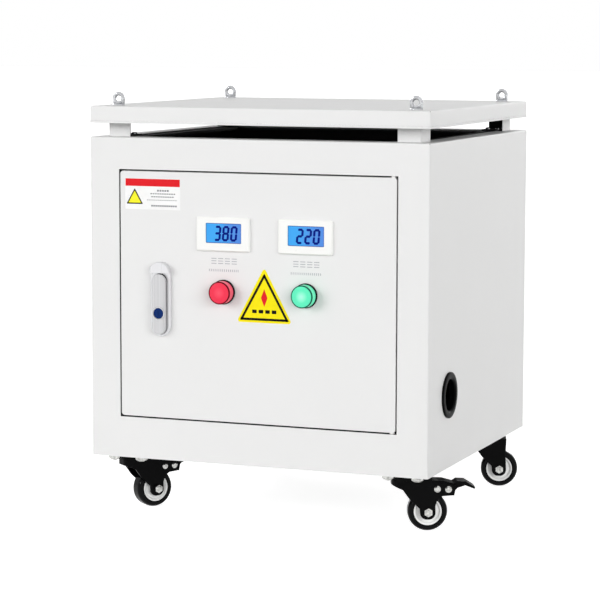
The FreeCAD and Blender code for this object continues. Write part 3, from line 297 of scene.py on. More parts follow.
    def round_ring(self, radius: float, height: float, size: float) -> None:
        """Rounds the ridge that a profile point left on a turned body.

        Args:
            radius: The point's distance from the axis.
            height: The point's height.
            size: How far the ridge is rounded.
        """
        ring = [edge for edge in self.mesh.edges
                if all(abs(math.hypot(v.co.x, v.co.y) - radius) < NEAR and abs(v.co.z - height) < NEAR
                       for v in edge.verts)]
        self.bevel_edges(ring, size, segments=4)

    def round_top(self, size: float) -> None:
        """Rounds the rim of the highest face.

        Args:
            size: How far the rim is rounded.
        """
        top = max(v.co.z for v in self.mesh.verts)
        rim = [edge for edge in self.mesh.edges if all(abs(v.co.z - top) < NEAR for v in edge.verts)]
        self.bevel_edges(rim, size)

    def eased(self, size: float, above: float = 30.0) -> "Blank":
        """Softens every sharp edge.

        Args:
            size: How far the edges are rounded.
            above: Only edges that turn by more than this many degrees are rounded.

        Returns:
            This blank.
        """
        limit = math.radians(above)
        sharp = [edge for edge in self.mesh.edges
                 if len(edge.link_faces) == 2 and edge.calc_face_angle() > limit]
        self.bevel_edges(sharp, size)
        return self

    def placed(self, matrix: Matrix) -> "Blank":
        """Sets the blank in place."""
        self.mesh.transform(matrix)
        return self

    def joined(self, *others: "Blank") -> "Blank":
        """Takes other blanks into this one as loose parts of the same piece.

        Args:
            others: The blanks that are used up.

        Returns:
            This blank.
        """
        for other in others:
            spare = bpy.data.meshes.new("spare")
            other.mesh.to_mesh(spare)
            other.mesh.free()
            self.mesh.from_mesh(spare)
            bpy.data.meshes.remove(spare)
        return self

    def piece(self, name: str, finish: bpy.types.Material, body: str, slot: str,
              replaces: Sequence[str] = (), smooth: float = 40.0) -> bpy.types.Object:
        """Makes the blank a piece of the model.

        Args:
            name: The piece's name.
            finish: Its material.
            body: The body that it moves with.
            slot: The record's material slot that it would belong to; it is not used.
            replaces: The nodes that it stands for.
            smooth: Edges that turn by less than this many degrees are shaded smooth.

        Returns:
            The new object.
        """
        for face in self.mesh.faces:
            face.smooth = True
        for edge in self.mesh.edges:
            edge.smooth = len(edge.link_faces) == 2 and edge.calc_face_angle() < math.radians(smooth)
        data = bpy.data.meshes.new(name)
        self.mesh.to_mesh(data)
        self.mesh.free()
        data.materials.append(finish)
        made = bpy.data.objects.new(name, data)
        bpy.context.scene.collection.objects.link(made)
        made.modifiers.new("flat_faces_stay_flat", "WEIGHTED_NORMAL").keep_sharp = True
        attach(made, body)
        if replaces:
            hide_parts(*replaces)
        log.info("%s on %s, %d faces", name, body, len(data.polygons))
        return made


# Finishes


class Recipe:
    """Writes the nodes of one material."""

    def __init__(self, name: str) -> None:
        """Starts a material with its shader and its Object coordinates."""
        self.material = bpy.data.materials.new(name)
        self.material.use_nodes = True
        self.tree = self.material.node_tree
        self.surface = self.tree.nodes["Principled BSDF"]
        self.place = self.node("ShaderNodeTexCoord").outputs["Object"]

    def node(self, kind: str, **settings: object) -> bpy.types.Node:
        """Adds a node.

        Args:
            kind: The node's type.
            settings: Its properties and their values.

        Returns:
            The node.
        """
        made = self.tree.nodes.new(kind)
        for key, value in settings.items():
            setattr(made, key, value)
        return made

    def plug(self, socket: bpy.types.NodeSocket, value: object) -> None:
        """Links a socket to another one, or gives it a value.

        Args:
            socket: The input.
            value: An output, or a plain value. A colour of three parts becomes opaque.
        """
        if isinstance(value, bpy.types.NodeSocket):
            self.tree.links.new(value, socket)
        elif isinstance(value, tuple) and socket.type == "RGBA":
            socket.default_value = (*value, 1.0)
        else:
            socket.default_value = value

    def shader(self, **values: object) -> None:
        """Sets or links the shader's inputs, named with underscores for spaces."""
        for key, value in values.items():
            self.plug(self.surface.inputs[key.replace("_", " ")], value)

    def noise(self, scale: float, detail: float = 2.0, stretch: Triple = (1, 1, 1)) -> bpy.types.NodeSocket:
        """Smooth random values from 0 to 1.

        Args:
            scale: How fine the pattern is.
            detail: How many finer layers it has.
            stretch: By how much each axis is scaled first.

        Returns:
            The values.
        """
        mapping = self.node("ShaderNodeMapping")
        made = self.node("ShaderNodeTexNoise")
        self.plug(mapping.inputs["Vector"], self.place)
        self.plug(mapping.inputs["Scale"], stretch)
        self.plug(made.inputs["Vector"], mapping.outputs["Vector"])
        self.plug(made.inputs["Scale"], scale)
        self.plug(made.inputs["Detail"], detail)
        return made.outputs["Fac"]

    def maths(self, operation: str, first: object, second: object = 0.0) -> bpy.types.NodeSocket:
        """One step of arithmetic.

        Args:
            operation: The Math node's operation.
            first: Its first value or socket.
            second: Its second value or socket.

        Returns:
            The result.
        """
        made = self.node("ShaderNodeMath", operation=operation)
        self.plug(made.inputs[0], first)
        self.plug(made.inputs[1], second)
        return made.outputs[0]

    def between(self, value: object, low: float, high: float, to_low: float = 0.0,
                to_high: float = 1.0) -> bpy.types.NodeSocket:
        """Maps a range of values onto another one, and holds it at its ends.

        Args:
            value: The value or socket.
            low: Where the first range starts.
            high: Where the first range ends.
            to_low: Where the second range starts.
            to_high: Where the second range ends.

        Returns:
            The mapped value.
        """
        made = self.node("ShaderNodeMapRange", clamp=True)
        for socket, number in zip(made.inputs[:5], (value, low, high, to_low, to_high)):
            self.plug(socket, number)
        return made.outputs["Result"]

    def ramp(self, factor: object, *stops: tuple[float, Colour]) -> bpy.types.NodeSocket:
        """A colour read from a ramp.

        Args:
            factor: Where the ramp is read, from 0 to 1.
            stops: Its positions and their colours, in order.

        Returns:
            The colour.
        """
        made = self.node("ShaderNodeValToRGB")
        self.plug(made.inputs["Fac"], factor)
        points = made.color_ramp.elements
        while len(points) < len(stops):
            points.new(1.0)
        for point, (position, colour) in zip(points, stops):
            point.position = position
            point.color = (*colour, 1.0)
        return made.outputs["Color"]

    def cloudy(self, colour: Colour, shade: float, noise: bpy.types.NodeSocket, low: float = 0.3,
               high: float = 0.7) -> bpy.types.NodeSocket:
        """A colour that turns a little darker in places.

        Args:
            colour: The plain colour.
            shade: The share of it that is left in the dark places.
            noise: Where they are.
            low: The noise at which it is darkest.
            high: The noise at which it is plain.

        Returns:
            The colour.
        """
        dark = tuple(part * shade for part in colour)
        return self.ramp(noise, (low, dark), (high, colour))

    def mixed(self, factor: object, first: object, second: object) -> bpy.types.NodeSocket:
        """A blend of two colours.

        Args:
            factor: How much of the second there is.
            first: The first colour or socket.
            second: The second colour or socket.

        Returns:
            The blend.
        """
        made = self.node("ShaderNodeMix", data_type="RGBA")
        colours = [socket for socket in made.inputs if socket.type == "RGBA"]
        self.plug(made.inputs[0], factor)
        for socket, colour in zip(colours, (first, second)):
            self.plug(socket, colour)
        return next(socket for socket in made.outputs if socket.type == "RGBA")

    def bump(self, height: object, depth: float, over: object = None) -> bpy.types.NodeSocket:
        """A normal from a height.

        Args:
            height: The height, from 0 to 1.
            depth: How deep that is, in metres.
            over: Another normal that it is laid over.

        Returns:
            The normal.
        """
        made = self.node("ShaderNodeBump")
        self.plug(made.inputs["Distance"], depth)
        self.plug(made.inputs["Height"], height)
        if over is not None:
            self.plug(made.inputs["Normal"], over)
        return made.outputs["Normal"]

    def axes(self) -> list[bpy.types.NodeSocket]:
        """The x, y and z of the place.

        Returns:
            Their three outputs.
        """
        made = self.node("ShaderNodeSeparateXYZ")
        self.plug(made.inputs[0], self.place)
        return list(made.outputs)

    def away_from(self, place: Sequence[float]) -> bpy.types.NodeSocket:
        """The distance from a line that runs along y.

        Args:
            place: A point on the line.

        Returns:
            The distance.
        """
        axes = self.axes()
        squares = []
        for i in (0, 2):
            offset = self.maths("SUBTRACT", axes[i], place[i])
            squares.append(self.maths("MULTIPLY", offset, offset))
        return self.maths("SQRT", self.maths("ADD", *squares))


@dataclass(frozen=True)
class PowderCoat:
    """Baked enamel on sheet metal: fine orange peel, a faint cloudiness and soft gloss."""

    name: str
    colour: Colour
    roughness: float = 0.40
    peel_scale: float = 620.0
    peel_depth: float = 0.000009
    cloud: float = 0.994
    specular: float = 0.38
    cloud_scale: float = 9.0
    spray_scale: float = 24.0

    def made(self) -> bpy.types.Material:
        """Builds the material.

        Returns:
            The material.
        """
        recipe = Recipe(self.name)
        recipe.shader(Base_Color=self.tone(recipe), Specular_IOR_Level=self.specular,
                      Roughness=self.gloss(recipe), Normal=self.peel(recipe))
        return recipe.material

    def tone(self, recipe: Recipe) -> bpy.types.NodeSocket:
        """The coat's colour, a little cloudy over a hand's width."""
        return recipe.cloudy(self.colour, self.cloud, recipe.noise(self.cloud_scale, 3.0), 0.35, 0.65)

    def gloss(self, recipe: Recipe) -> bpy.types.NodeSocket:
        """Roughness that varies with the spray."""
        return recipe.between(recipe.noise(self.spray_scale, 4.0), 0.3, 0.7,
                              self.roughness * 0.95, self.roughness * 1.06)

    def peel(self, recipe: Recipe) -> bpy.types.NodeSocket:
        """The coat's orange peel."""
        return recipe.bump(recipe.noise(self.peel_scale, 1.5), self.peel_depth)


@dataclass(frozen=True)
class ShadePaintedCoat(PowderCoat):
    """Enamel outside, and painted shade inside a box: every face there takes a near-black colour that stands
    in for the shadow inside the cabinet.
    """

    low: Triple = (-FAR, -FAR, -FAR)
    high: Triple = (FAR, FAR, FAR)
    # Near-black painted shade and its roughness, standing in for the shadow inside the box
    painted_shade: Colour = (0.012, 0.012, 0.013)
    painted_shade_roughness: float = 0.75

    def made(self) -> bpy.types.Material:
        """Builds the material.

        Returns:
            The material.
        """
        recipe = Recipe(self.name)
        inside = None
        for axis, low, high in zip(recipe.axes(), self.low, self.high):
            past = recipe.maths("MULTIPLY", recipe.maths("GREATER_THAN", axis, low),
                                recipe.maths("LESS_THAN", axis, high))
            inside = past if inside is None else recipe.maths("MULTIPLY", inside, past)
        dull = recipe.maths("MULTIPLY", inside, self.painted_shade_roughness)
        # Faces inside the box take the painted shade's near-black colour and a duller roughness in place of
        # the white enamel
        recipe.shader(Base_Color=recipe.mixed(inside, self.tone(recipe), self.painted_shade),
                      Roughness=recipe.maths("MAXIMUM", self.gloss(recipe), dull),
                      Normal=self.peel(recipe), Specular_IOR_Level=self.specular)
        return recipe.material


@dataclass(frozen=True)
class PlatedMetal:
    """Plated or polished metal, darker in cloudy places, brushed along an axis if a stretch is given. The
    dark places are partly stain and partly painted reflection, the grey and dark streaks that a polished
    surface mirrors.
    """

    name: str
    colour: Colour
    roughness: float
    stain_and_reflection: float = 0.82
    stretch: Triple = (1, 1, 1)
    grain_scale: float = 260.0
    grain_depth: float = 0.00001
    metallic: float = 1.0
    cloud_scale: float = 70.0

    def made(self) -> bpy.types.Material:
        """Builds the material.

        Returns:
            The material.
        """
        recipe = Recipe(self.name)
        grain = recipe.noise(self.grain_scale, 3.0, self.stretch)
        cloud = recipe.noise(self.cloud_scale, 4.0, self.stretch)
        # The darker cloudy patches are partly stain and partly painted reflection of dark surroundings
        recipe.shader(Base_Color=recipe.cloudy(self.colour, self.stain_and_reflection, cloud), Metallic=self.metallic,
                      Normal=recipe.bump(grain, self.grain_depth),
                      Roughness=recipe.between(grain, 0.25, 0.75, self.roughness * 0.75,
                                               self.roughness * 1.3))
        return recipe.material


@dataclass(frozen=True)
class Moulding:
    """Moulded plastic or rubber with a fine spark-eroded grain."""

    name: str
    colour: Colour
    roughness: float = 0.35
    grain_scale: float = 900.0
    grain_depth: float = 0.000008
    shade: float = 0.93
    specular: float = 0.5
    cloud_scale: float = 60.0
    gloss_scale: float = 45.0

    def made(self) -> bpy.types.Material:
        """Builds the material.

        Returns:
            The material.
        """
        recipe = Recipe(self.name)
        recipe.shader(Base_Color=recipe.cloudy(self.colour, self.shade, recipe.noise(self.cloud_scale, 3.0)),
                      Roughness=recipe.between(recipe.noise(self.gloss_scale, 3.0), 0.3, 0.7,
                                               self.roughness * 0.85, self.roughness * 1.2),
                      Specular_IOR_Level=self.specular,
                      Normal=recipe.bump(recipe.noise(self.grain_scale, 2.0), self.grain_depth))
        return recipe.material


@dataclass(frozen=True)
class LampColours:
    """A pilot lamp's colours: where it shines through, its cap, its dark bead and its skirt."""

    middle: Colour
    body: Colour
    bead: Colour
    skirt: Colour


LAMPS = {
    "red": LampColours((0.82, 0.070, 0.12), (0.74, 0.022, 0.062), (0.13, 0.002, 0.008), (0.78, 0.085, 0.14)),
    "green": LampColours((0.38, 0.86, 0.66), (0.095, 0.74, 0.44), (0.003, 0.11, 0.065), (0.12, 0.78, 0.46)),
}


@dataclass(frozen=True)
class LitCap:
    """A translucent lamp cap lit from behind: bright in the middle, deeper outwards, pale on its side."""

    name: str
    tones: LampColours
    centre: Triple
    radius: float
    strength: float = 0.22

    def made(self) -> bpy.types.Material:
        """Builds the material.

        Returns:
            The material.
        """
        recipe = Recipe(self.name)
        out = recipe.maths("DIVIDE", recipe.away_from(self.centre), self.radius)
        glow = recipe.ramp(out, (0.0, self.tones.middle), (0.55, self.tones.body), (0.93, self.tones.body),
                           (0.985, self.tones.skirt), (1.0, self.tones.skirt))
        recipe.shader(Base_Color=glow, Emission_Color=glow, Emission_Strength=self.strength, Roughness=0.30,
                      Specular_IOR_Level=0.35, Normal=recipe.bump(recipe.noise(500.0, 1.0), 0.000006))
        return recipe.material


@dataclass(frozen=True)
class Backlight:
    """Two backlit displays in a row, each bright from its left edge on and deeper at its right one."""

    name: str
    bright: Colour
    deep: Colour
    left: float
    pitch: float
    width: float
    dot_scale: float = 1600.0
    strength: float = 0.95

    def made(self) -> bpy.types.Material:
        """Builds the material.

        Returns:
            The material.
        """
        recipe = Recipe(self.name)
        cells = recipe.node("ShaderNodeTexVoronoi", feature="F1")
        recipe.plug(cells.inputs["Vector"], recipe.place)
        recipe.plug(cells.inputs["Scale"], self.dot_scale)
        past = recipe.maths("DIVIDE", recipe.maths("SUBTRACT", recipe.axes()[0], self.left), self.pitch)
        across = recipe.maths("MULTIPLY", recipe.maths("FRACT", past), self.pitch / self.width)
        uneven = recipe.maths("ADD", across, recipe.between(recipe.noise(60.0, 1.0), 0.3, 0.7, -0.12, 0.12))
        glow = recipe.ramp(uneven, (0.30, self.bright), (0.85, self.deep))
        speck = recipe.between(cells.outputs["Distance"], 0.0, 0.6, 0.0, 0.08)
        tone = recipe.mixed(speck, glow, self.deep)
        recipe.shader(Base_Color=(0.01, 0.03, 0.08), Emission_Color=tone, Emission_Strength=self.strength,
                      Roughness=0.25, Specular_IOR_Level=0.15)
        return recipe.material


@dataclass(frozen=True)
class Print:
    """Flat ink or foil of a sticker, slightly uneven."""

    name: str
    colour: Colour
    roughness: float = 0.35
    specular: float = 0.3
    wear: float = 0.97

    def made(self) -> bpy.types.Material:
        """Builds the material.

        Returns:
            The material.
        """
        recipe = Recipe(self.name)
        recipe.shader(Base_Color=recipe.cloudy(self.colour, self.wear, recipe.noise(180.0, 4.0), 0.35, 0.6),
                      Roughness=self.roughness, Specular_IOR_Level=self.specular,
                      Normal=recipe.bump(recipe.noise(420.0, 2.0), 0.000006))
        return recipe.material


@dataclass(frozen=True)
class LayeredSheets:
    """Stacked sheets or wound layers seen from outside: thin lines across one axis."""

    name: str
    colour: Colour
    line: Colour
    pitch: float
    across: int
    roughness: float = 0.5
    metallic: float = 0.0
    depth: float = 0.00012
    shade: float = 0.78

    def made(self) -> bpy.types.Material:
        """Builds the material.

        Returns:
            The material.
        """
        recipe = Recipe(self.name)
        step = recipe.maths("FRACT", recipe.maths("DIVIDE", recipe.axes()[self.across], self.pitch))
        ridge = recipe.maths("SINE", recipe.maths("MULTIPLY", step, math.pi))
        tone = recipe.cloudy(self.colour, self.shade, recipe.noise(55.0, 4.0))
        recipe.shader(Base_Color=recipe.mixed(recipe.between(ridge, 0.0, 0.45), self.line, tone),
                      Roughness=self.roughness, Metallic=self.metallic,
                      Normal=recipe.bump(ridge, self.depth, recipe.bump(recipe.noise(400.0, 3.0), 0.00004)))
        return recipe.material


class PaintShop:
    """Every finish that the transformer needs, made once."""

    WHITE: Colour = (0.83, 0.83, 0.828)
    SKIN = 0.8 * MM

    def __init__(self) -> None:
        """Mixes the finishes."""
        self.enamel = PowderCoat("white_powder_coat", self.WHITE).made()
        # The shell, lid and posts are white outside and painted near-black inside their boxes: painted shade
        # for the cabinet's dark inside
        self.shell = self.with_painted_shade("white_coat_painted_shade_inside", "cabinet_shell")
        self.lid = self.with_painted_shade("lid_coat_painted_shade_under", "lid")
        self.post = self.with_painted_shade("post_coat_painted_shade_inside", "lid_posts", capped=False)
        self.black_enamel = PowderCoat("black_fork_coat", (0.002, 0.002, 0.0023), roughness=0.30,
                                       peel_scale=800.0, cloud=0.8, specular=0.05).made()
        self.zinc = PlatedMetal("bright_zinc", (0.66, 0.66, 0.64), 0.20, stain_and_reflection=0.48,
                                cloud_scale=300.0).made()
        self.chrome = PlatedMetal("polished_chrome", (0.66, 0.67, 0.69), 0.10, stain_and_reflection=0.72).made()
        self.satin = PlatedMetal("satin_chrome", (0.74, 0.74, 0.76), 0.33, stain_and_reflection=0.90, stretch=(1, 1, 0.02),
                                 grain_scale=900.0, grain_depth=0.000004, metallic=0.55).made()
        # The grip's stretched grey streaks are partly painted reflection of its brushed surface
        self.grip = PlatedMetal("brushed_grip_chrome", (0.66, 0.66, 0.675), 0.36, stain_and_reflection=0.74,
                                stretch=(1, 1, 0.012), grain_scale=420.0, grain_depth=0.000012,
                                metallic=0.6, cloud_scale=230.0).made()
        self.rubber = Moulding("black_rubber_ring", (0.002, 0.002, 0.0023), 0.34, specular=0.03).made()
        self.black_plastic = Moulding("black_nylon", (0.004, 0.004, 0.0045), 0.38, specular=0.08).made()
        self.white_plastic = Moulding("white_bezel_plastic", (0.95, 0.95, 0.93), 0.32, shade=0.99).made()
        self.blue_plastic = Moulding("navy_button_plastic", (0.002, 0.026, 0.15), 0.16, specular=0.1).made()
        self.tyre = Moulding("gloss_tyre_compound", (0.0015, 0.0015, 0.0018), 0.10, grain_depth=0.000003,
                             specular=0.09).made()
        self.hub = Moulding("pale_hub_plastic", (0.96, 0.96, 0.95), 0.20, shade=0.99, specular=0.8).made()
        first, second = middle_of("input_voltmeter").x, middle_of("output_voltmeter").x
        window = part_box("meter_displays")[1].x - second
        self.display = Backlight("blue_backlight", (0.045, 0.40, 0.90), (0.085, 0.26, 0.74),
                                 left=first - window, pitch=second - first, width=2 * window).made()
        self.digit = Print("display_segment_ink", (0.002, 0.012, 0.22), 0.3, specular=0.05).made()
        # A dark blue frame round each display window: painted shade along the glass's edge
        self.mask = Print("display_edge_painted_shade", (0.006, 0.035, 0.24), 0.3, specular=0.1).made()
        self.yellow = Print("yellow_foil", (0.98, 0.83, 0.006), 0.35, specular=0.15).made()
        self.pale_yellow = Print("pale_yellow_print", (0.98, 0.93, 0.035), 0.35, specular=0.15).made()
        self.black_ink = Print("black_ink", (0.004, 0.004, 0.004), 0.4, specular=0.1).made()
        self.red_ink = Print("red_ink", (0.78, 0.014, 0.022), 0.35, specular=0.15).made()
        self.grey_ink = Print("grey_ink", (0.36, 0.36, 0.40), 0.5).made()
        self.dark_ink = Print("dark_grey_ink", (0.13, 0.13, 0.15), 0.5).made()
        self.paper = Print("white_foil", (0.95, 0.95, 0.95), 0.35).made()
        self.core = LayeredSheets("stacked_core_steel", (0.16, 0.165, 0.175), (0.05, 0.05, 0.055),
                                  0.6 * MM, 1, roughness=0.42, metallic=0.85).made()
        self.winding = LayeredSheets("taped_winding", (0.72, 0.60, 0.36), (0.42, 0.32, 0.16), 7.0 * MM, 2,
                                     roughness=0.55, depth=0.0005).made()
        self.pressboard = LayeredSheets("pressboard", (0.47, 0.32, 0.17), (0.36, 0.24, 0.12), 0.9 * MM, 2,
                                        roughness=0.7).made()
        self.laminate = Moulding("dark_laminate_board", (0.035, 0.022, 0.016), 0.4, grain_scale=200.0).made()
        self.brass = PlatedMetal("turned_brass", (0.72, 0.52, 0.24), 0.25).made()
        self.panel_grey = PowderCoat("grey_clamp_primer", (0.09, 0.10, 0.11), roughness=0.45).made()

    def with_painted_shade(self, name: str, node: str, capped: bool = True) -> bpy.types.Material:
        """White enamel with painted shade, a near-black colour, on every face inside a node's box.

        Args:
            name: The material's name.
            node: The node whose box holds the lining.
            capped: Whether the painted shade stops under the node's top.

        Returns:
            The material.
        """
        low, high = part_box(node)
        top = high.z - self.SKIN if capped else FAR
        return ShadePaintedCoat(name, self.WHITE, low=(low.x + self.SKIN, low.y + self.SKIN, -FAR),
                         high=(high.x - self.SKIN, high.y - self.SKIN, top)).made()

    def lens(self, node: str, name: str, tones: LampColours) -> bpy.types.Material:
        """A lit lamp cap centred on its node.

        Args:
            node: The lens node that it covers.
            name: The material's name.
            tones: The lamp's colours.

        Returns:
            The material.
        """
        low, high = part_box(node)
        return LitCap(name, tones, tuple(middle_of(node)), (high.x - low.x) / 2).made()


# The transformer's groups of pieces


@dataclass
class Group:
    """A group of pieces that share the paint shop, and how far a sheet's folds are rounded."""

    paint: PaintShop
    fold: float = 0.25 * MM

    def coat(self, finish: bpy.types.Material, *nodes: str) -> None:
        """Gives nodes of the frame their finish.

        Args:
            finish: The material.
            nodes: The nodes that take it.
        """
        for node in nodes:
            for slot in frame["nodes"][node].material_slots:
                slot.material = finish

    def softened(self, node: str, finish: bpy.types.Material, body: str, slot: str, size: float,
                 above: float = 30.0, smooth: float = 50.0) -> bpy.types.Object:
        """Stands a copy with softened edges in a node's place.

        Args:
            node: The node that is copied and hidden.
            finish: The copy's material.
            body: The body that it moves with.
            slot: The record's material slot.
            size: How far the edges are rounded.
            above: Only edges that turn by more than this many degrees are rounded.
            smooth: Edges under this many degrees are shaded smooth.

        Returns:
            The new piece.
        """
        blank = Blank.of_node(node).eased(size, above)
        return blank.piece(node + "_finished", finish, body, slot, replaces=(node,), smooth=smooth)


def pan_head(radius: float, height: float) -> Blank:
    """A pan-head screw's head with a cross recess, standing on z = 0.

    Args:
        radius: The head's radius.
        height: The head's height.

    Returns:
        The head.
    """
    head = Blank.turned([(0.0, 0.0, 0.0), (radius, 0.0, 0.0), (radius, height * 0.45, 0.0),
                         (radius * 0.72, height * 0.9, 0.0), (0.0, height, 0.0)], steps=24)
    bars = []
    for turn in (0.0, math.pi / 2):
        bar = Blank.panel(radius * 1.15, radius * 0.24, height * 0.08)
        lift = Matrix.Translation((0, 0, height * 0.93))
        bars.append(bar.placed(Matrix.Rotation(turn, 4, "Z") @ lift))
    return head.joined(*bars)


def hex_nut(flats: float, height: float, tip: float = 0.0, tip_radius: float = 0.0) -> Blank:
    """A hexagonal nut or head with rounded corners, and the threaded end that stands out of it.

    Args:
        flats: The size across its flats.
        height: Its height.
        tip: How far the thread stands out, or 0 for a plain head.
        tip_radius: The thread's radius.

    Returns:
        The nut, standing on z = 0.
    """
    nut = Blank.polygon(6, flats / math.sqrt(3), height, corner=flats * 0.05)
    nut.round_top(flats * 0.06)
    if not tip:
        top = height + 0.3 * MM
        return nut.joined(Blank.turned([(0.0, height, 0.0), (flats * 0.40, height, 0.0),
                                        (flats * 0.36, top, 0.0), (0.0, top, 0.0)], steps=32))
    turns = max(2, round(tip / (tip_radius * 0.33)))
    profile = [(0.0, height * 0.5, 0.0)]
    for i in range(turns):
        base = height + i * tip / turns
        profile += [(tip_radius * 0.86, base, 0.0), (tip_radius, base + tip / turns / 2, 0.0)]
    profile += [(tip_radius * 0.8, height + tip, 0.0), (0.0, height + tip, 0.0)]
    return nut.joined(Blank.turned(profile, steps=24))


def both_sides(side: Profile) -> Profile:
    """A wheel's closed profile, from the half of it that lies on one side."""
    return [*side, *((radius, -height, rounding) for radius, height, rounding in reversed(side))]


@dataclass
class Cabinet(Group):
    """The sheet-metal body: shell, rear panel, floor, lid on its posts, eyes, grommets and screws."""

    screw_radius: float = 4.0 * MM
    screw_height: float = 2.4 * MM
    post_screw_x: tuple[float, float] = (9.0 * MM, 23.0 * MM)
    post_screw_y: float = 27.0 * MM
    rear_screw_in: float = 10.0 * MM
    rear_screw_rows: int = 4
    eye_segments: int = 28
    eye_sink: float = 2.3 * MM
    eye_wire: float = 2.5 * MM
    collar_radius: float = 8.0 * MM
    collar_height: float = 3.5 * MM
    hem_height: float = 2.7 * MM
    hem_width: float = 2.6 * MM
    hem_line: float = 0.1 * MM
    grommet_wall: float = 9.0 * MM

    def build(self) -> None:
        """Dresses the nodes and adds the small fittings."""
        self.sheet_metal()
        self.lid_hem()
        self.grommets()
        self.lifting_eyes()
        self.post_screws()
        self.rear_screws()

    def sheet_metal(self) -> None:
        """The folded sheets, with the light caught on their folds."""
        for node, finish in (("cabinet_shell", self.paint.shell), ("lid", self.paint.lid),
                             ("rear_panel", self.paint.shell), ("lid_posts", self.paint.post)):
            self.softened(node, finish, "cabinet", "white_enamel", self.fold)
        self.coat(self.paint.shell, "floor_pan")

    def lid_hem(self) -> None:
        """The folded hem along the lid's lower edge, with the fine line where it is turned back."""
        low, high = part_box("lid")
        hem = Blank.frame(high.x - low.x, high.y - low.y, self.hem_height, self.hem_width).eased(0.3 * MM)
        under = low.z - self.hem_height - self.hem_line
        hem.placed(Facing.UP.at(((low.x + high.x) / 2, (low.y + high.y) / 2, under)))
        hem.piece("lid_hem", self.paint.lid, "cabinet", "white_enamel")

    def grommets(self) -> None:
        """The rubber rings of the cable entries."""
        for side, facing in (("right", Facing.RIGHT), ("left", Facing.LEFT)):
            node = "cable_grommet_" + side
            low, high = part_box(node)
            radius, depth = (high.z - low.z) / 2, high.x - low.x
            bore, flange = radius - self.grommet_wall, depth - 3.0 * MM
            ring = Blank.turned([(bore, 0.0, 0.0), (radius - 3.0 * MM, 0.0, 1.0 * MM),
                                 (radius - 3.1 * MM, flange, 0.0), (radius, flange, 0.0),
                                 (radius, depth - 0.6 * MM, 0.5 * MM), (radius - 2.4 * MM, depth, 0.8 * MM),
                                 (bore + 2.0 * MM, depth, 1.0 * MM), (bore, depth - 1.6 * MM, 0.6 * MM)],
                                steps=96)
            inner = low.x if side == "right" else high.x
            ring.placed(facing.at((inner, (low.y + high.y) / 2, (low.z + high.z) / 2)))
            ring.piece(f"grommet_ring_{side}", self.paint.rubber, "cabinet", "black_rubber",
                       replaces=(node,), smooth=45.0)

    def lifting_eyes(self) -> None:
        """Four eye bolts: a drop-shaped ring on a collar, a shank and a nut."""
        low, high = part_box("lifting_eyes")
        lid_top, post_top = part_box("lid")[1].z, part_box("lid_posts")[1].z
        wire, collar_radius, neck = self.eye_wire, self.collar_radius, self.collar_height + 2.0 * MM
        ring_radius = (high.z - lid_top - self.collar_height) / 2 - wire + 0.6 * MM
        collar_profile = [(0.0, -0.2 * MM, 0.0), (collar_radius, -0.2 * MM, 0.0),
                          (collar_radius, 1.4 * MM, 0.5 * MM), (4.6 * MM, self.collar_height, 1.2 * MM),
                          (3.4 * MM, neck, 0.0), (0.0, neck, 0.0)]
        eyes = []
        for x in (low.x + collar_radius, high.x - collar_radius):
            for y in (low.y + collar_radius, high.y - collar_radius):
                middle = Vector((x, y, high.z - ring_radius - wire - self.eye_sink))
                ring = Blank.turned(self.wire_loop(ring_radius), steps=48).placed(Facing.FRONT.at(middle))
                collar = Blank.turned(collar_profile, steps=40).placed(Facing.UP.at((x, y, lid_top)))
                legs = [self.eye_leg(middle, side * ring_radius, lid_top + 1.0 * MM) for side in (-1, 1)]
                nut = hex_nut(10.0 * MM, 5.0 * MM, tip=2.0 * MM, tip_radius=3.0 * MM)
                nut.placed(Facing.DOWN.at((x, y, post_top - 2.0 * MM)))
                eyes.append(ring.joined(collar, nut, *legs))
        Blank.gathered(eyes).piece("eye_bolts", self.paint.chrome, "cabinet", "bright_chrome",
                                   replaces=("lifting_eyes",), smooth=50.0)

    def eye_leg(self, middle: Vector, across: float, foot: float) -> Blank:
        """The forged web from one side of an eye's ring down to its collar.

        Args:
            middle: The ring's middle.
            across: How far to the side the leg starts.
            foot: The height at which the leg ends.

        Returns:
            The leg, set in place.
        """
        length = middle.z - foot
        leg = Blank.turned([(0.0, 0.0, 0.0), (self.eye_wire * 0.80, 0.0, 0.0),
                            (self.eye_wire * 0.98, length, 0.0), (0.0, length, 0.0)], steps=24)
        return leg.placed(Matrix.Translation((middle.x + across, middle.y, foot)))

    def wire_loop(self, ring_radius: float) -> Profile:
        """The round section of a ring, as a closed profile."""
        turns = [math.tau * i / self.eye_segments for i in range(self.eye_segments)]
        return [(ring_radius + self.eye_wire * math.cos(turn), self.eye_wire * math.sin(turn), 0.0)
                for turn in turns]

    def screws(self, facing: Facing, places: Sequence[Sequence[float]]) -> Blank:
        """Screw heads at several places, as one blank."""
        return Blank.gathered([pan_head(self.screw_radius, self.screw_height).placed(facing.at(place))
                               for place in places])

    def post_screws(self) -> None:
        """The bright screws that hold each post's foot to the shell."""
        low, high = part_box("lid_posts")
        foot = low.z + 2.0 * MM
        places = [(x + side_x * step, y + side_y * self.post_screw_y, foot)
                  for side_x, x in ((1, low.x), (-1, high.x))
                  for side_y, y in ((1, low.y), (-1, high.y))
                  for step in self.post_screw_x]
        heads = self.screws(Facing.UP, places)
        heads.piece("post_screws", self.paint.chrome, "cabinet", "bright_chrome")

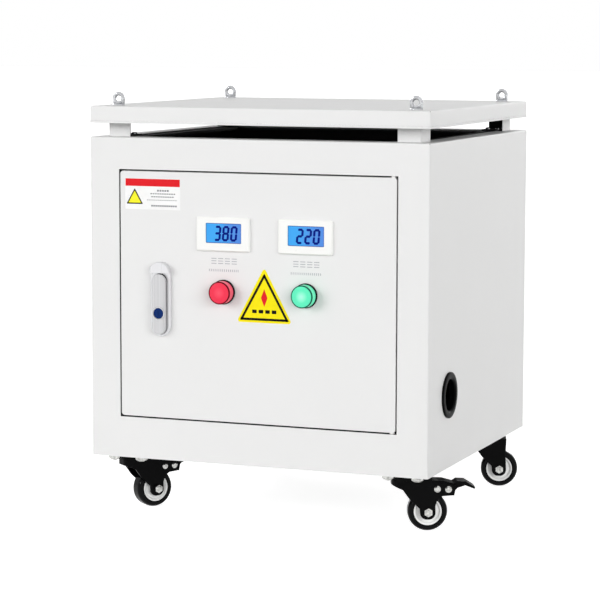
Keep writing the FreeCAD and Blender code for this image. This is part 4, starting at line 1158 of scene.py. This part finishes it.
    def rear_screws(self) -> None:
        """The screws round the rear panel."""
        low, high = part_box("rear_panel")
        inset = self.rear_screw_in
        places = []
        for i in range(self.rear_screw_rows):
            z = low.z + inset + (high.z - low.z - 2 * inset) * i / (self.rear_screw_rows - 1)
            places += [(low.x + inset, high.y, z), (high.x - inset, high.y, z)]
        places += [(0.0, high.y, low.z + inset), (0.0, high.y, high.z - inset)]
        heads = self.screws(Facing.BACK, places)
        heads.piece("rear_screws", self.paint.zinc, "cabinet", "zinc_plate")


class Segment(Enum):
    """A digit's seven bars: the middle in half widths and quarter heights, and whether it is upright."""

    TOP = (0, 2, False)
    UPPER_RIGHT = (1, 1, True)
    LOWER_RIGHT = (1, -1, True)
    BOTTOM = (0, -2, False)
    LOWER_LEFT = (-1, -1, True)
    UPPER_LEFT = (-1, 1, True)
    MIDDLE = (0, 0, False)


DIGIT_BARS = {
    "0": [Segment.TOP, Segment.UPPER_RIGHT, Segment.LOWER_RIGHT, Segment.BOTTOM, Segment.LOWER_LEFT,
          Segment.UPPER_LEFT],
    "2": [Segment.TOP, Segment.UPPER_RIGHT, Segment.MIDDLE, Segment.LOWER_LEFT, Segment.BOTTOM],
    "3": [Segment.TOP, Segment.UPPER_RIGHT, Segment.MIDDLE, Segment.LOWER_RIGHT, Segment.BOTTOM],
    "8": list(Segment),
}


@dataclass
class SevenSegment:
    """A row of display digits, made flat round the display's middle."""

    width: float = 6.4 * MM
    height: float = 16.4 * MM
    bar: float = 1.7 * MM
    pitch: float = 11.0 * MM
    lean: float = 0.09
    gap: float = 0.1 * MM
    shift_x: float = 2.9 * MM
    shift_y: float = -0.3 * MM
    thickness: float = 0.08 * MM

    def row(self, digits: str) -> Blank:
        """The raised bars of a number.

        Args:
            digits: The number's digits.

        Returns:
            The bars, about the display's middle.
        """
        bars = []
        for i, digit in enumerate(digits):
            middle = self.shift_x + (i - (len(digits) - 1) / 2) * self.pitch
            bars += [self.one_bar(segment, middle) for segment in DIGIT_BARS[digit]]
        return Blank.gathered(bars)

    def one_bar(self, segment: Segment, middle: float) -> Blank:
        """One pointed bar of a digit that leans to the right.

        Args:
            segment: Which bar it is.
            middle: The digit's middle along x.

        Returns:
            The bar, set in place.
        """
        half_x, quarter_y, upright = segment.value
        length = (self.height / 2 if upright else self.width) - 2 * self.gap
        blank = Blank.polygon(6, self.bar, self.thickness)
        reach = length / 2 - self.bar
        for sign in (-1, 1):
            end = [v for v in blank.mesh.verts if v.co.y * sign > self.bar / 4]
            bmesh.ops.translate(blank.mesh, vec=(0, sign * reach, 0), verts=end)
        turn = Matrix.Identity(4) if upright else Matrix.Rotation(math.pi / 2, 4, "Z")
        place = Matrix.Translation((half_x * self.width / 2, quarter_y * self.height / 4, 0))
        slant = Matrix.Identity(4)
        slant[0][1] = self.lean
        return blank.placed(Matrix.Translation((middle, self.shift_y, 0)) @ slant @ place @ turn)


# The sticker's rows of grey bars, in millimetres: start, length, distance under its top, thickness
LABEL_ROWS = ((43.8, 17.0, 15.0, 2.2), (34.6, 35.0, 19.0, 1.4), (35.7, 31.8, 22.8, 1.4),
              (29.7, 42.0, 27.0, 0.7), (35.7, 36.0, 34.2, 2.0))


@dataclass
class Door(Group):
    """The door with its meters, lamps, stickers and printed marks."""

    film: float = 0.10 * MM
    window_width: float = 48.0 * MM
    window_height: float = 25.0 * MM
    window_right: float = 1.2 * MM
    window_up: float = 1.5 * MM
    edge_shade_width: float = 0.9 * MM
    lamp_wall: float = 1.6 * MM
    lamp_barrel: float = 11.0 * MM
    lamp_flange: float = 3.0 * MM

    def __post_init__(self) -> None:
        """Reads the door's place from the frame."""
        self.low, self.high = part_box("door_panel")
        self.front = self.low.y

    def build(self) -> None:
        """Dresses the door and adds what is on it."""
        self.softened("door_panel", self.paint.enamel, "door", "white_enamel", 0.3 * MM)
        self.coat(self.paint.rubber, "door_gasket")
        self.coat(self.paint.black_plastic, "door_nuts")
        self.coat(self.paint.white_plastic, "hinge_bushes")
        self.coat(self.paint.zinc, "hinge_pins")
        self.meters()
        self.pilot_lamps()
        self.label()
        self.triangle()
        self.captions()

    def on_skin(self, x: float, z: float, lift: float = 0.0) -> Matrix:
        """The place of a flat piece on the door's skin."""
        return Facing.FRONT.at((x, self.front - lift, z))

    def meters(self) -> None:
        """The two panel meters with their backlit numbers and a dark blue frame of painted shade round each
        window.
        """
        low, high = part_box("meter_displays")
        shift = Vector((self.window_right, 0.0, self.window_up))
        width, height = self.window_width, self.window_height
        panes = []
        for side, number in (("input", "380"), ("output", "220")):
            node = side + "_voltmeter"
            middle = middle_of(node)
            self.bezel(node, middle, shift, high.y)
            middle += shift
            on_glass = Facing.FRONT.at((middle.x, low.y, middle.z))
            pane = Blank.panel(width, height, high.y - low.y)
            panes.append(pane.placed(Facing.FRONT.at((middle.x, high.y, middle.z))))
            digits = SevenSegment().row(number).placed(on_glass)
            digits.piece(side + "_digits", self.paint.digit, "door", "black_plastic")
            # A dark blue frame round the window, painted shade along the glass's edge
            edge = Blank.frame(width, height, self.film, self.edge_shade_width).placed(on_glass)
            edge.piece(side + "_display_edge_shade", self.paint.mask, "door", "black_plastic")
        Blank.gathered(panes).piece("display_panes", self.paint.display, "door", "display_blue",
                                    replaces=("meter_displays",))

    def bezel(self, node: str, middle: Vector, shift: Vector, bed: float) -> None:
        """A meter's case, with its window moved off the bezel's middle.

        Args:
            node: The meter that it stands for.
            middle: The meter's middle.
            shift: How far the window is moved.
            bed: Where the window's floor lies along y.
        """
        case = Blank.of_node(node)
        reach_x, reach_z = self.window_width / 2 + MM, self.window_height / 2 + MM
        window = [v for v in case.mesh.verts if v.co.y < bed + MM / 10 and abs(v.co.x - middle.x) < reach_x
                  and abs(v.co.z - middle.z) < reach_z]
        bmesh.ops.translate(case.mesh, vec=shift, verts=window)
        case.eased(0.35 * MM).piece(node + "_finished", self.paint.white_plastic, "door", "white_plastic",
                                    replaces=(node,), smooth=60.0)

    def pilot_lamps(self) -> None:
        """The pilot lamps: glossy caps with a dark bead, on black holders."""
        for colour, tones in LAMPS.items():
            lens, slot = colour + "_lamp_lens", colour + "_lens"
            low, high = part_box(lens)
            centre = middle_of(lens)
            radius, length = (high.x - low.x) / 2, high.y - low.y
            seat = Facing.FRONT.at((centre.x, high.y, centre.z))
            lit = self.paint.lens(lens, f"{colour}_lit_cap", tones)
            cap = self.lamp_cap(radius, length).placed(seat)
            cap.piece(colour + "_cap", lit, "door", slot, replaces=(lens,), smooth=45.0)
            dark = Moulding(f"{colour}_rim_plastic", tones.bead, 0.3, specular=0.04).made()
            bead = self.lamp_bead(radius, length).placed(seat)
            bead.piece(colour + "_rim", dark, "door", slot, smooth=45.0)
            self.lamp_holder(colour, centre, radius)

    def lamp_cap(self, radius: float, length: float) -> Blank:
        """A lamp's hollow cap with a stepped face.

        Args:
            radius: The cap's radius.
            length: How far it stands out of the holder.

        Returns:
            The cap, standing on z = 0.
        """
        bore, ceiling = radius - self.lamp_wall, length - 3.4 * MM
        return Blank.turned([(0.0, length, 0.0), (radius * 0.78, length - 0.5 * MM, 0.0),
                             (radius * 0.84, length - 0.9 * MM, 0.3 * MM),
                             (radius * 0.90, length - 1.0 * MM, 0.0), (radius, length - 2.2 * MM, 0.8 * MM),
                             (radius, 0.0, 0.0), (bore, 0.0, 0.0), (bore, ceiling, 0.0),
                             (0.0, ceiling, 0.0)], steps=80)

    def lamp_bead(self, radius: float, length: float) -> Blank:
        """The bead round the face of a lamp's cap.

        Args:
            radius: The cap's radius.
            length: How far the cap stands out of the holder.

        Returns:
            The bead, over the plane z = 0.
        """
        outer = radius * 1.004
        return Blank.turned([(radius * 0.90, length - 1.6 * MM, 0.0), (outer, length - 2.6 * MM, 0.0),
                             (outer, length - 1.1 * MM, 0.4 * MM),
                             (radius * 0.925, length - 0.5 * MM, 0.2 * MM)], steps=80)

    def lamp_holder(self, colour: str, centre: Vector, radius: float) -> None:
        """A lamp's flange, barrel and two contact tags.

        Args:
            colour: Which lamp it carries.
            centre: The middle of the lamp's cap.
            radius: The cap's radius.
        """
        base = colour + "_lamp_base"
        low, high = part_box(base)
        flange, plug = (high.x - low.x) / 2, radius - self.lamp_wall - 0.2 * MM
        end = -(high.y - self.front - 7.0 * MM)
        holder = Blank.turned([(0.0, 8.0 * MM, 0.0), (plug, 8.0 * MM, 0.0), (plug, self.lamp_flange, 0.0),
                               (flange, self.lamp_flange, 0.7 * MM), (flange, 0.0, 0.0),
                               (self.lamp_barrel, 0.0, 0.0), (self.lamp_barrel, end, 0.6 * MM),
                               (0.0, end, 0.0)], steps=72).placed(self.on_skin(centre.x, centre.z))
        for across in (-5.0 * MM, 5.0 * MM):
            tag = Blank.panel(4.0 * MM, 1.0 * MM, 8.0 * MM)
            tag.placed(Facing.BACK.at((centre.x + across, high.y - 8.0 * MM, centre.z)))
            holder.joined(tag)
        holder.piece(colour + "_holder", self.paint.black_plastic, "door", "black_plastic", replaces=(base,))

    def label(self) -> None:
        """The white sticker in the upper left corner: a red band, a yellow triangle and plain grey bars."""
        width, height, band, margin = 76.0 * MM, 39.0 * MM, 9.4 * MM, 0.4 * MM
        left, top = self.low.x + 6.8 * MM, self.high.z - 9.1 * MM
        sheet = Blank.panel(width, height, self.film, 0.8 * MM)
        sheet.placed(self.on_skin(left + width / 2, top - height / 2))
        sheet.piece("label_sheet", self.paint.paper, "door", "white_plastic")
        strip = Blank.panel(width - 2 * margin, band, self.film / 2)
        strip.placed(self.on_skin(left + width / 2, top - band / 2 - margin, self.film))
        strip.piece("label_band", self.paint.red_ink, "door", "red_lens")
        mark, corner = 13.2 * MM, 1.0 * MM
        on_mark = self.on_skin(left + mark, top - 25.8 * MM, self.film)
        back = Blank.polygon(3, mark, self.film / 2, corner).placed(on_mark)
        back.piece("label_mark", self.paint.pale_yellow, "door", "white_plastic")
        edge = Blank.polygon(3, mark, self.film * 0.8, corner, border=1.5 * MM).placed(on_mark)
        edge.piece("label_mark_edge", self.paint.black_ink, "door", "black_plastic")
        bars = self.label_bars(left, top)
        bars.piece("label_bars", self.paint.dark_ink, "door", "black_plastic")

    def label_bars(self, left: float, top: float) -> Blank:
        """The sticker's rows of plain grey bars.

        Args:
            left: The sticker's left edge.
            top: The sticker's upper edge.

        Returns:
            The bars, set in place.
        """
        dash = 2.0 * MM
        bars = []
        for start, length, down, thick in LABEL_ROWS:
            count = int(length * MM / (dash * 1.5))
            for i in range(count):
                x = left + start * MM + (i + 0.5) * length * MM / count
                bar = Blank.panel(dash, thick * MM, self.film / 2)
                bars.append(bar.placed(self.on_skin(x, top - down * MM, self.film)))
        return Blank.gathered(bars)

    def triangle(self) -> None:
        """The large yellow triangle: a dark border, a plain red lozenge and a row of plain dark bars."""
        x, base, ink = 11.9 * MM, self.low.z + 127.9 * MM, self.film / 2
        outer, inner, rise, border = 46.3 * MM, 39.6 * MM, 2.6 * MM, 3.1 * MM
        narrow, slim, tall = (Matrix.Diagonal(scale) for scale in (
            (0.93, 1.0, 1.0, 1.0), (0.965, 1.0, 1.0, 1.0), (0.68, 1.75, 1.0, 1.0)))
        sheet = Blank.polygon(3, outer, self.film, 5.5 * MM)
        sheet.placed(self.on_skin(x, base + outer / 2) @ narrow)
        sheet.piece("triangle_sheet", self.paint.yellow, "door", "white_plastic")
        ring = Blank.polygon(3, inner, ink, 1.2 * MM, border=border)
        ring.placed(self.on_skin(x, base + rise + inner / 2, self.film) @ slim)
        ring.piece("triangle_border", self.paint.black_ink, "door", "black_plastic")
        mark = Blank.polygon(4, 6.4 * MM, ink, 0.6 * MM)
        mark.placed(self.on_skin(x, base + 31.2 * MM, self.film) @ tall)
        mark.piece("triangle_lozenge", self.paint.red_ink, "door", "red_lens")
        bars = []
        for i in range(4):
            place = self.on_skin(x + (i - 1.5) * 8.8 * MM, base + 14.0 * MM, self.film)
            bars.append(Blank.panel(6.0 * MM, 4.4 * MM, ink, 0.6 * MM).placed(place))
        Blank.gathered(bars).piece("triangle_bars", self.paint.black_ink, "door", "black_plastic")

    def captions(self) -> None:
        """Rows of plain grey marks under each meter."""
        ink = self.film / 3
        for side in ("input", "output"):
            middle = middle_of(side + "_voltmeter")
            marks = []
            for i in range(4):
                x = middle.x + (i - 1.5) * 9.2 * MM + 0.5 * MM
                for j in range(3):
                    mark = Blank.panel(7.0 * MM, 0.8 * MM, ink, 0.2 * MM)
                    marks.append(mark.placed(self.on_skin(x, middle.z - (30.6 + 3.1 * j) * MM)))
            for i in range(16):
                x = middle.x + (i - 7.5) * 2.6 * MM
                mark = Blank.panel(0.8 * MM, 3.0 * MM, ink, 0.15 * MM)
                marks.append(mark.placed(self.on_skin(x, middle.z - 45.4 * MM)))
            words = Blank.gathered(marks)
            words.piece(side + "_caption", self.paint.grey_ink, "door", "black_plastic")


@dataclass
class Lock(Group):
    """The folding panel lock."""

    # The black sheet of painted shade under the handle: how far it stands past the handle, its gap and its
    # thickness
    shade_sheet_past: float = 0.55 * MM
    shade_sheet_gap: float = 0.30 * MM
    shade_sheet_thick: float = 0.20 * MM
    ring_height: float = 0.45 * MM

    def build(self) -> None:
        """Dresses the lock's nodes and adds the black sheet of painted shade under its handle and the bright
        ring round its button.
        """
        for node, finish, body, slot, size in (
                ("lock_base", self.paint.satin, "door", "satin_chrome", 0.35 * MM),
                ("lock_handle", self.paint.grip, "lock_grip", "satin_chrome", 0.35 * MM),
                ("lock_button", self.paint.blue_plastic, "lock_press", "blue_plastic", 0.2 * MM)):
            self.softened(node, finish, body, slot, size, smooth=60.0)
        self.coat(self.paint.zinc, "lock_spindle", "lock_cam", "lock_pin")
        self.gap_shade_sheet()
        self.button_ring()

    def gap_shade_sheet(self) -> None:
        """A thin black sheet that the handle closes on, put there as painted shade: it shows as the dark
        line of the gap's shadow round the handle.
        """
        low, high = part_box("lock_handle")
        width = high.x - low.x + 2 * self.shade_sheet_past
        height = high.z - low.z + 2 * self.shade_sheet_past
        blank = Blank.panel(width, height, self.shade_sheet_thick, width / 2 - 0.05 * MM)
        blank.placed(Facing.FRONT.at(((low.x + high.x) / 2, high.y + self.shade_sheet_gap, (low.z + high.z) / 2)))
        blank.piece("handle_gap_shade_sheet", self.paint.black_plastic, "door", "black_plastic")

    def button_ring(self) -> None:
        """The bright ring that the button stands in."""
        low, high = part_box("lock_button")
        radius, top = (high.x - low.x) / 2, self.ring_height
        middle = middle_of("lock_button")
        ring = Blank.turned([(radius + 0.15 * MM, 0.0, 0.0), (radius + 1.7 * MM, 0.0, 0.0),
                             (radius + 1.5 * MM, top, 0.2 * MM), (radius + 0.35 * MM, top, 0.2 * MM)],
                            steps=64)
        ring.placed(Facing.FRONT.at((middle.x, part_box("lock_handle")[0].y, middle.z)))
        ring.piece("button_ring", self.paint.chrome, "lock_grip", "satin_chrome")


@dataclass
class Caster(Group):
    """One swivel caster: fork, wheel, axle bolt and, in front, the brake."""

    corner: str = "front_left"
    wheel_radius: float = 25.0 * MM
    tyre_half: float = 10.0 * MM
    rim: float = 17.5 * MM
    bore: float = 3.05 * MM
    boss: float = 7.0 * MM
    boss_half: float = 12.0 * MM
    dish: float = 7.0 * MM
    hub_half: float = 9.4 * MM
    cheek: float = 14.3 * MM
    axle_radius: float = 3.0 * MM
    axle_flats: float = 10.0 * MM
    pin_radius: float = 2.5 * MM
    pin_places: tuple[tuple[float, float], ...] = ((11.4 * MM, 29.0 * MM), (25.2 * MM, 28.6 * MM))

    def __post_init__(self) -> None:
        """Reads the wheel's place and its axle from the joint."""
        roll = joint_named("roll_" + self.corner)
        self.hub_centre = Vector(roll["pos_m"])
        self.axle = Vector(roll["axis"]).normalized()
        self.swivel = "swivel_" + self.corner
        self.wheel = "wheel_" + self.corner
        self.braked = self.corner.startswith("front")

    def build(self) -> None:
        """Dresses the fork and makes the turned and threaded pieces."""
        black, slot = self.paint.black_enamel, "black_enamel"
        self.softened("caster_fork_" + self.corner, black, self.swivel, slot, self.fold)
        if self.braked:
            side = self.corner.split("_")[1]
            self.softened("brake_pedal_" + side, black, "brake_" + side, slot, self.fold)
        self.tyre()
        self.hub()
        self.axle_bolt()

    def tyre(self) -> None:
        """A glossy tyre with a crowned tread and a raised side ring."""
        radius, half, seat = self.wheel_radius, self.tyre_half, self.rim
        side = [(seat, half - 0.7 * MM, 0.3 * MM), (seat + 1.2 * MM, half, 0.3 * MM),
                (radius - 2.2 * MM, half, 1.2 * MM), (radius, half - 3.8 * MM, 1.6 * MM)]
        blank = Blank.turned(both_sides(side), steps=96).placed(along(self.hub_centre, self.axle))
        blank.piece("tread_" + self.corner, self.paint.tyre, self.wheel, "black_tyre",
                    replaces=("tyre_" + self.corner,), smooth=50.0)

    def hub(self) -> None:
        """A pale dished hub with a rolled rim and a boss on both sides."""
        rim, boss, dish = self.rim, self.boss, self.dish
        side = [(self.bore, self.boss_half, 0.0), (boss, self.boss_half, 0.5 * MM),
                (boss + 1.0 * MM, dish, 0.6 * MM), (rim - 3.4 * MM, dish, 0.6 * MM),
                (rim - 2.6 * MM, 8.4 * MM, 0.4 * MM), (rim - 1.8 * MM, self.hub_half, 0.4 * MM),
                (rim, self.hub_half, 0.0)]
        blank = Blank.turned(both_sides(side), steps=80).placed(along(self.hub_centre, self.axle))
        blank.piece("hub_disc_" + self.corner, self.paint.hub, self.wheel, "hub_plastic",
                    replaces=("wheel_hub_" + self.corner,), smooth=50.0)

    def axle_bolt(self) -> None:
        """The axle bolt with its head and nut, and the brake's two pins."""
        head = hex_nut(self.axle_flats, 4.5 * MM)
        nut = hex_nut(self.axle_flats, 5.0 * MM, tip=0.1 * MM, tip_radius=self.axle_radius)
        shank = Blank.rod(self.axle_radius, -self.cheek, self.cheek, steps=32)
        parts = [self.on_cheek(0.0, 0.0, -1, head), self.on_cheek(0.0, 0.0, 1, nut),
                 shank.placed(along(self.hub_centre, self.axle))]
        if self.braked:
            parts += self.brake_pins()
        Blank.gathered(parts).piece("axle_set_" + self.corner, self.paint.zinc, self.swivel, "zinc_plate",
                                    replaces=("wheel_axle_" + self.corner,), smooth=45.0)

    def brake_pins(self) -> list[Blank]:
        """The two domed pins through the fork's ears.

        Returns:
            Each pin and its two heads, set in place.
        """
        parts = []
        for ahead, up in self.pin_places:
            pin = Blank.rod(self.pin_radius, -self.cheek, self.cheek, steps=24)
            parts.append(pin.placed(along(self.point(ahead, up), self.axle)))
            for side in (-1, 1):
                head = Blank.turned([(0.0, 0.0, 0.0), (4.3 * MM, 0.0, 0.0), (4.3 * MM, 0.9 * MM, 0.3 * MM),
                                     (2.6 * MM, 2.2 * MM, 0.5 * MM), (0.0, 2.2 * MM, 0.0)], steps=32)
                parts.append(self.on_cheek(ahead, up, side, head))
        return parts

    def point(self, ahead: float, up: float) -> Vector:
        """A point beside the hub, measured away from the kingpin and up."""
        trail = (self.hub_centre - Vector(joint_named(self.swivel)["pos_m"])) * Vector((1, 1, 0))
        return self.hub_centre + trail.normalized() * ahead + Vector((0, 0, up))

    def on_cheek(self, ahead: float, up: float, side: int, blank: Blank) -> Blank:
        """Stands a head or nut on the outside of a fork cheek."""
        outward = self.axle * side
        return blank.placed(along(self.point(ahead, up) + outward * self.cheek, outward))


@dataclass
class CasterPlates(Group):
    """The four top plates and the bolts that hold them under the floor."""

    plate: float = 3.0 * MM
    reach_x: float = 19.0 * MM
    reach_y: float = 29.5 * MM
    neck: float = 6.0 * MM
    head_height: float = 2.5 * MM

    def build(self) -> None:
        """Dresses the plates and makes their bolts."""
        self.softened("caster_plates", self.paint.black_enamel, "cabinet", "black_enamel", self.fold)
        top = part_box("caster_bolts")[1].z
        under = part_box("cabinet_shell")[0].z - self.plate
        parts = []
        for corner in CORNERS:
            centre = Vector(joint_named("swivel_" + corner)["pos_m"])
            for dx in (-self.reach_x, self.reach_x):
                for dy in (-self.reach_y, self.reach_y):
                    parts += self.bolt(centre.x + dx, centre.y + dy, under, top)
        Blank.gathered(parts).piece("plate_bolts", self.paint.zinc, "cabinet", "zinc_plate",
                                    replaces=("caster_bolts",), smooth=45.0)

    def bolt(self, x: float, y: float, under: float, top: float) -> list[Blank]:
        """A domed bolt through the floor, with a flanged nut and a threaded tip below.

        Args:
            x: Its place from left to right.
            y: Its place from front to back.
            under: The height of the plate's lower side.
            top: The height of the head's top.

        Returns:
            The flange, the nut, the head and the square neck, set in place.
        """
        flange = Blank.turned([(0.0, 0.0, 0.0), (8.2 * MM, 0.0, 0.0), (8.2 * MM, 3.4 * MM, 1.1 * MM),
                               (6.2 * MM, 4.6 * MM, 0.4 * MM), (0.0, 4.6 * MM, 0.0)], steps=32)
        nut = hex_nut(10.0 * MM, 5.4 * MM, tip=0.8 * MM, tip_radius=3.0 * MM)
        head = Blank.turned([(0.0, 0.0, 0.0), (7.0 * MM, 0.0, 0.0), (6.6 * MM, 0.9 * MM, 0.0),
                             (4.4 * MM, 2.1 * MM, 0.0), (0.0, self.head_height, 0.0)], steps=32)
        seat = top - self.head_height
        neck = Blank.panel(self.neck, self.neck, seat - under)
        below, floor = Facing.DOWN.at((x, y, under)), Facing.UP.at((x, y, seat))
        return [flange.placed(below), nut.placed(below), head.placed(floor),
                neck.placed(Facing.UP.at((x, y, under)))]


@dataclass
class Transformer(Group):
    """The core, coils, clamps and terminals inside the cabinet."""

    def build(self) -> None:
        """Dresses what the open door and the lid's gap show."""
        self.coat(self.paint.core, "core_stack")
        self.coat(self.paint.pressboard, "lv_coils")
        self.coat(self.paint.winding, "hv_coil_left", "hv_coil_middle", "hv_coil_right")
        self.coat(self.paint.panel_grey, "upper_clamps", "lower_clamps", "board_brackets")
        self.coat(self.paint.zinc, "core_bolts")
        self.coat(self.paint.laminate, "terminal_board")
        self.coat(self.paint.black_plastic, "terminal_blocks")
        self.coat(self.paint.brass, "terminal_studs")


# The studio


@dataclass(frozen=True)
class Sun:
    """A distant soft lamp.

    Its heading is in degrees from the front towards the cabinet's right side, its height in degrees over
    the horizon, its strength in watts a square metre on a face turned to it, and its spread is how many
    degrees wide it looks.
    """

    name: str
    heading: float
    height: float
    strength: float
    spread: float
    in_gloss: bool = True

    def hang(self) -> None:
        """Adds the lamp to the scene."""
        data = bpy.data.lights.new(self.name, "SUN")
        data.energy = self.strength
        data.angle = math.radians(self.spread)
        turn, rise = math.radians(self.heading), math.radians(self.height)
        towards = Vector((math.sin(turn) * math.cos(rise), -math.cos(turn) * math.cos(rise), math.sin(rise)))
        lamp = bpy.data.objects.new(self.name, data)
        lamp.matrix_world = towards.to_track_quat("Z", "Y").to_matrix().to_4x4()
        lamp.visible_glossy = self.in_gloss
        bpy.context.scene.collection.objects.link(lamp)


# The low front lamps would glare off the lid towards the back, so gloss doesn't show them
SUNS = (
    Sun("left_front", -45.0, 12.0, 1.44, 42.0, in_gloss=False),
    Sun("right_front", 51.0, 12.0, 1.62, 42.0, in_gloss=False),
    Sun("sparkle", -35.0, 20.0, 0.18, 4.0),
    Sun("behind", 235.0, 22.0, 0.85, 20.0),
    Sun("rear_fill", 180.0, 4.0, 0.55, 30.0),
)


def link_all(tree: bpy.types.NodeTree, *pairs: tuple[bpy.types.NodeSocket, bpy.types.NodeSocket]) -> None:
    """Links each output to the input beside it."""
    for start, end in pairs:
        tree.links.new(start, end)


@dataclass
class Studio:
    """A plain pale floor, soft light and the camera."""

    camera_place: Triple = (1.1132, -2.9081, 0.6234)
    camera_turn: float = 21.33
    camera_down: float = 6.58
    camera_roll: float = 0.13
    lens: float = 141.5
    sensor: float = 36.0
    horizon: float = 0.66
    zenith: float = 0.05
    floor_lift: float = 0.85

    def build(self) -> None:
        """Sets the world, the floor, the lamps and the camera."""
        bpy.context.scene.view_settings.view_transform = "Standard"
        self.world()
        self.floor()
        for sun in SUNS:
            sun.hang()
        self.camera()

    def shown(self, tree: bpy.types.NodeTree) -> bpy.types.NodeSocket:
        """1 for rays that show the background: from the camera, off gloss and through glass.

        Args:
            tree: The node tree that asks.

        Returns:
            The factor.
        """
        path = tree.nodes.new("ShaderNodeLightPath")
        total = path.outputs["Is Camera Ray"]
        for name in ("Is Glossy Ray", "Is Transmission Ray"):
            join = tree.nodes.new("ShaderNodeMath")
            join.operation = "MAXIMUM"
            link_all(tree, (total, join.inputs[0]), (path.outputs[name], join.inputs[1]))
            total = join.outputs[0]
        return total

    def world(self) -> None:
        """White to look at, softer as a light."""
        world = bpy.data.worlds.new("studio")
        bpy.context.scene.world = world
        world.use_nodes = True
        tree = world.node_tree
        tree.nodes.clear()
        light = tree.nodes.new("ShaderNodeBackground")
        light.inputs["Color"].default_value = (1.0, 1.0, 1.0, 1.0)
        direction = tree.nodes.new("ShaderNodeSeparateXYZ")
        where = tree.nodes.new("ShaderNodeTexCoord")
        fade = tree.nodes.new("ShaderNodeMapRange")
        fade.inputs["To Min"].default_value = self.horizon
        fade.inputs["To Max"].default_value = self.zenith
        seen = tree.nodes.new("ShaderNodeBackground")
        seen.inputs["Color"].default_value = (1.0, 1.0, 1.0, 1.0)
        mix = tree.nodes.new("ShaderNodeMixShader")
        out = tree.nodes.new("ShaderNodeOutputWorld")
        link_all(tree, (where.outputs["Generated"], direction.inputs[0]),
                 (direction.outputs["Z"], fade.inputs["Value"]),
                 (fade.outputs["Result"], light.inputs["Strength"]), (self.shown(tree), mix.inputs[0]),
                 (light.outputs[0], mix.inputs[1]), (seen.outputs[0], mix.inputs[2]),
                 (mix.outputs[0], out.inputs["Surface"]))

    def floor(self) -> None:
        """A wide white floor that keeps the shadow."""
        blank = Blank()
        bmesh.ops.create_grid(blank.mesh, x_segments=1, y_segments=1, size=30.0)
        data = bpy.data.meshes.new("floor")
        blank.mesh.to_mesh(data)
        blank.mesh.free()
        material = bpy.data.materials.new("pale_floor")
        material.use_nodes = True
        tree = material.node_tree
        tree.nodes.clear()
        matte = tree.nodes.new("ShaderNodeBsdfDiffuse")
        matte.inputs["Color"].default_value = (0.76, 0.76, 0.75, 1.0)
        lift = tree.nodes.new("ShaderNodeEmission")
        lift.inputs["Strength"].default_value = self.floor_lift
        both = tree.nodes.new("ShaderNodeAddShader")
        mix = tree.nodes.new("ShaderNodeMixShader")
        out = tree.nodes.new("ShaderNodeOutputMaterial")
        link_all(tree, (matte.outputs[0], both.inputs[0]), (lift.outputs[0], both.inputs[1]),
                 (self.shown(tree), mix.inputs[0]), (matte.outputs[0], mix.inputs[1]),
                 (both.outputs[0], mix.inputs[2]), (mix.outputs[0], out.inputs["Surface"]))
        data.materials.append(material)
        floor = bpy.data.objects.new("floor", data)
        bpy.context.scene.collection.objects.link(floor)

    def camera(self) -> None:
        """The photograph's view."""
        data = bpy.data.cameras.new("camera")
        data.sensor_width = self.sensor
        data.lens = self.lens
        data.clip_end = 100.0
        camera = bpy.data.objects.new("camera", data)
        turn = (Matrix.Rotation(math.radians(self.camera_turn), 4, "Z")
                @ Matrix.Rotation(math.radians(90.0 - self.camera_down), 4, "X")
                @ Matrix.Rotation(math.radians(self.camera_roll), 4, "Z"))
        camera.matrix_world = Matrix.Translation(Vector(self.camera_place)) @ turn
        bpy.context.scene.collection.objects.link(camera)
        bpy.context.scene.camera = camera


def main() -> None:
    """Builds every group in order."""
    logging.basicConfig(level=logging.INFO, format="%(message)s")
    paint = PaintShop()
    groups: list[Group] = [Cabinet(paint), Door(paint), Lock(paint), CasterPlates(paint), Transformer(paint)]
    groups += [Caster(paint, corner=name) for name in CORNERS]
    for group in groups:
        log.info("building %s", type(group).__name__)
        group.build()
    Studio().build()


if __name__ == "__main__":
    main()
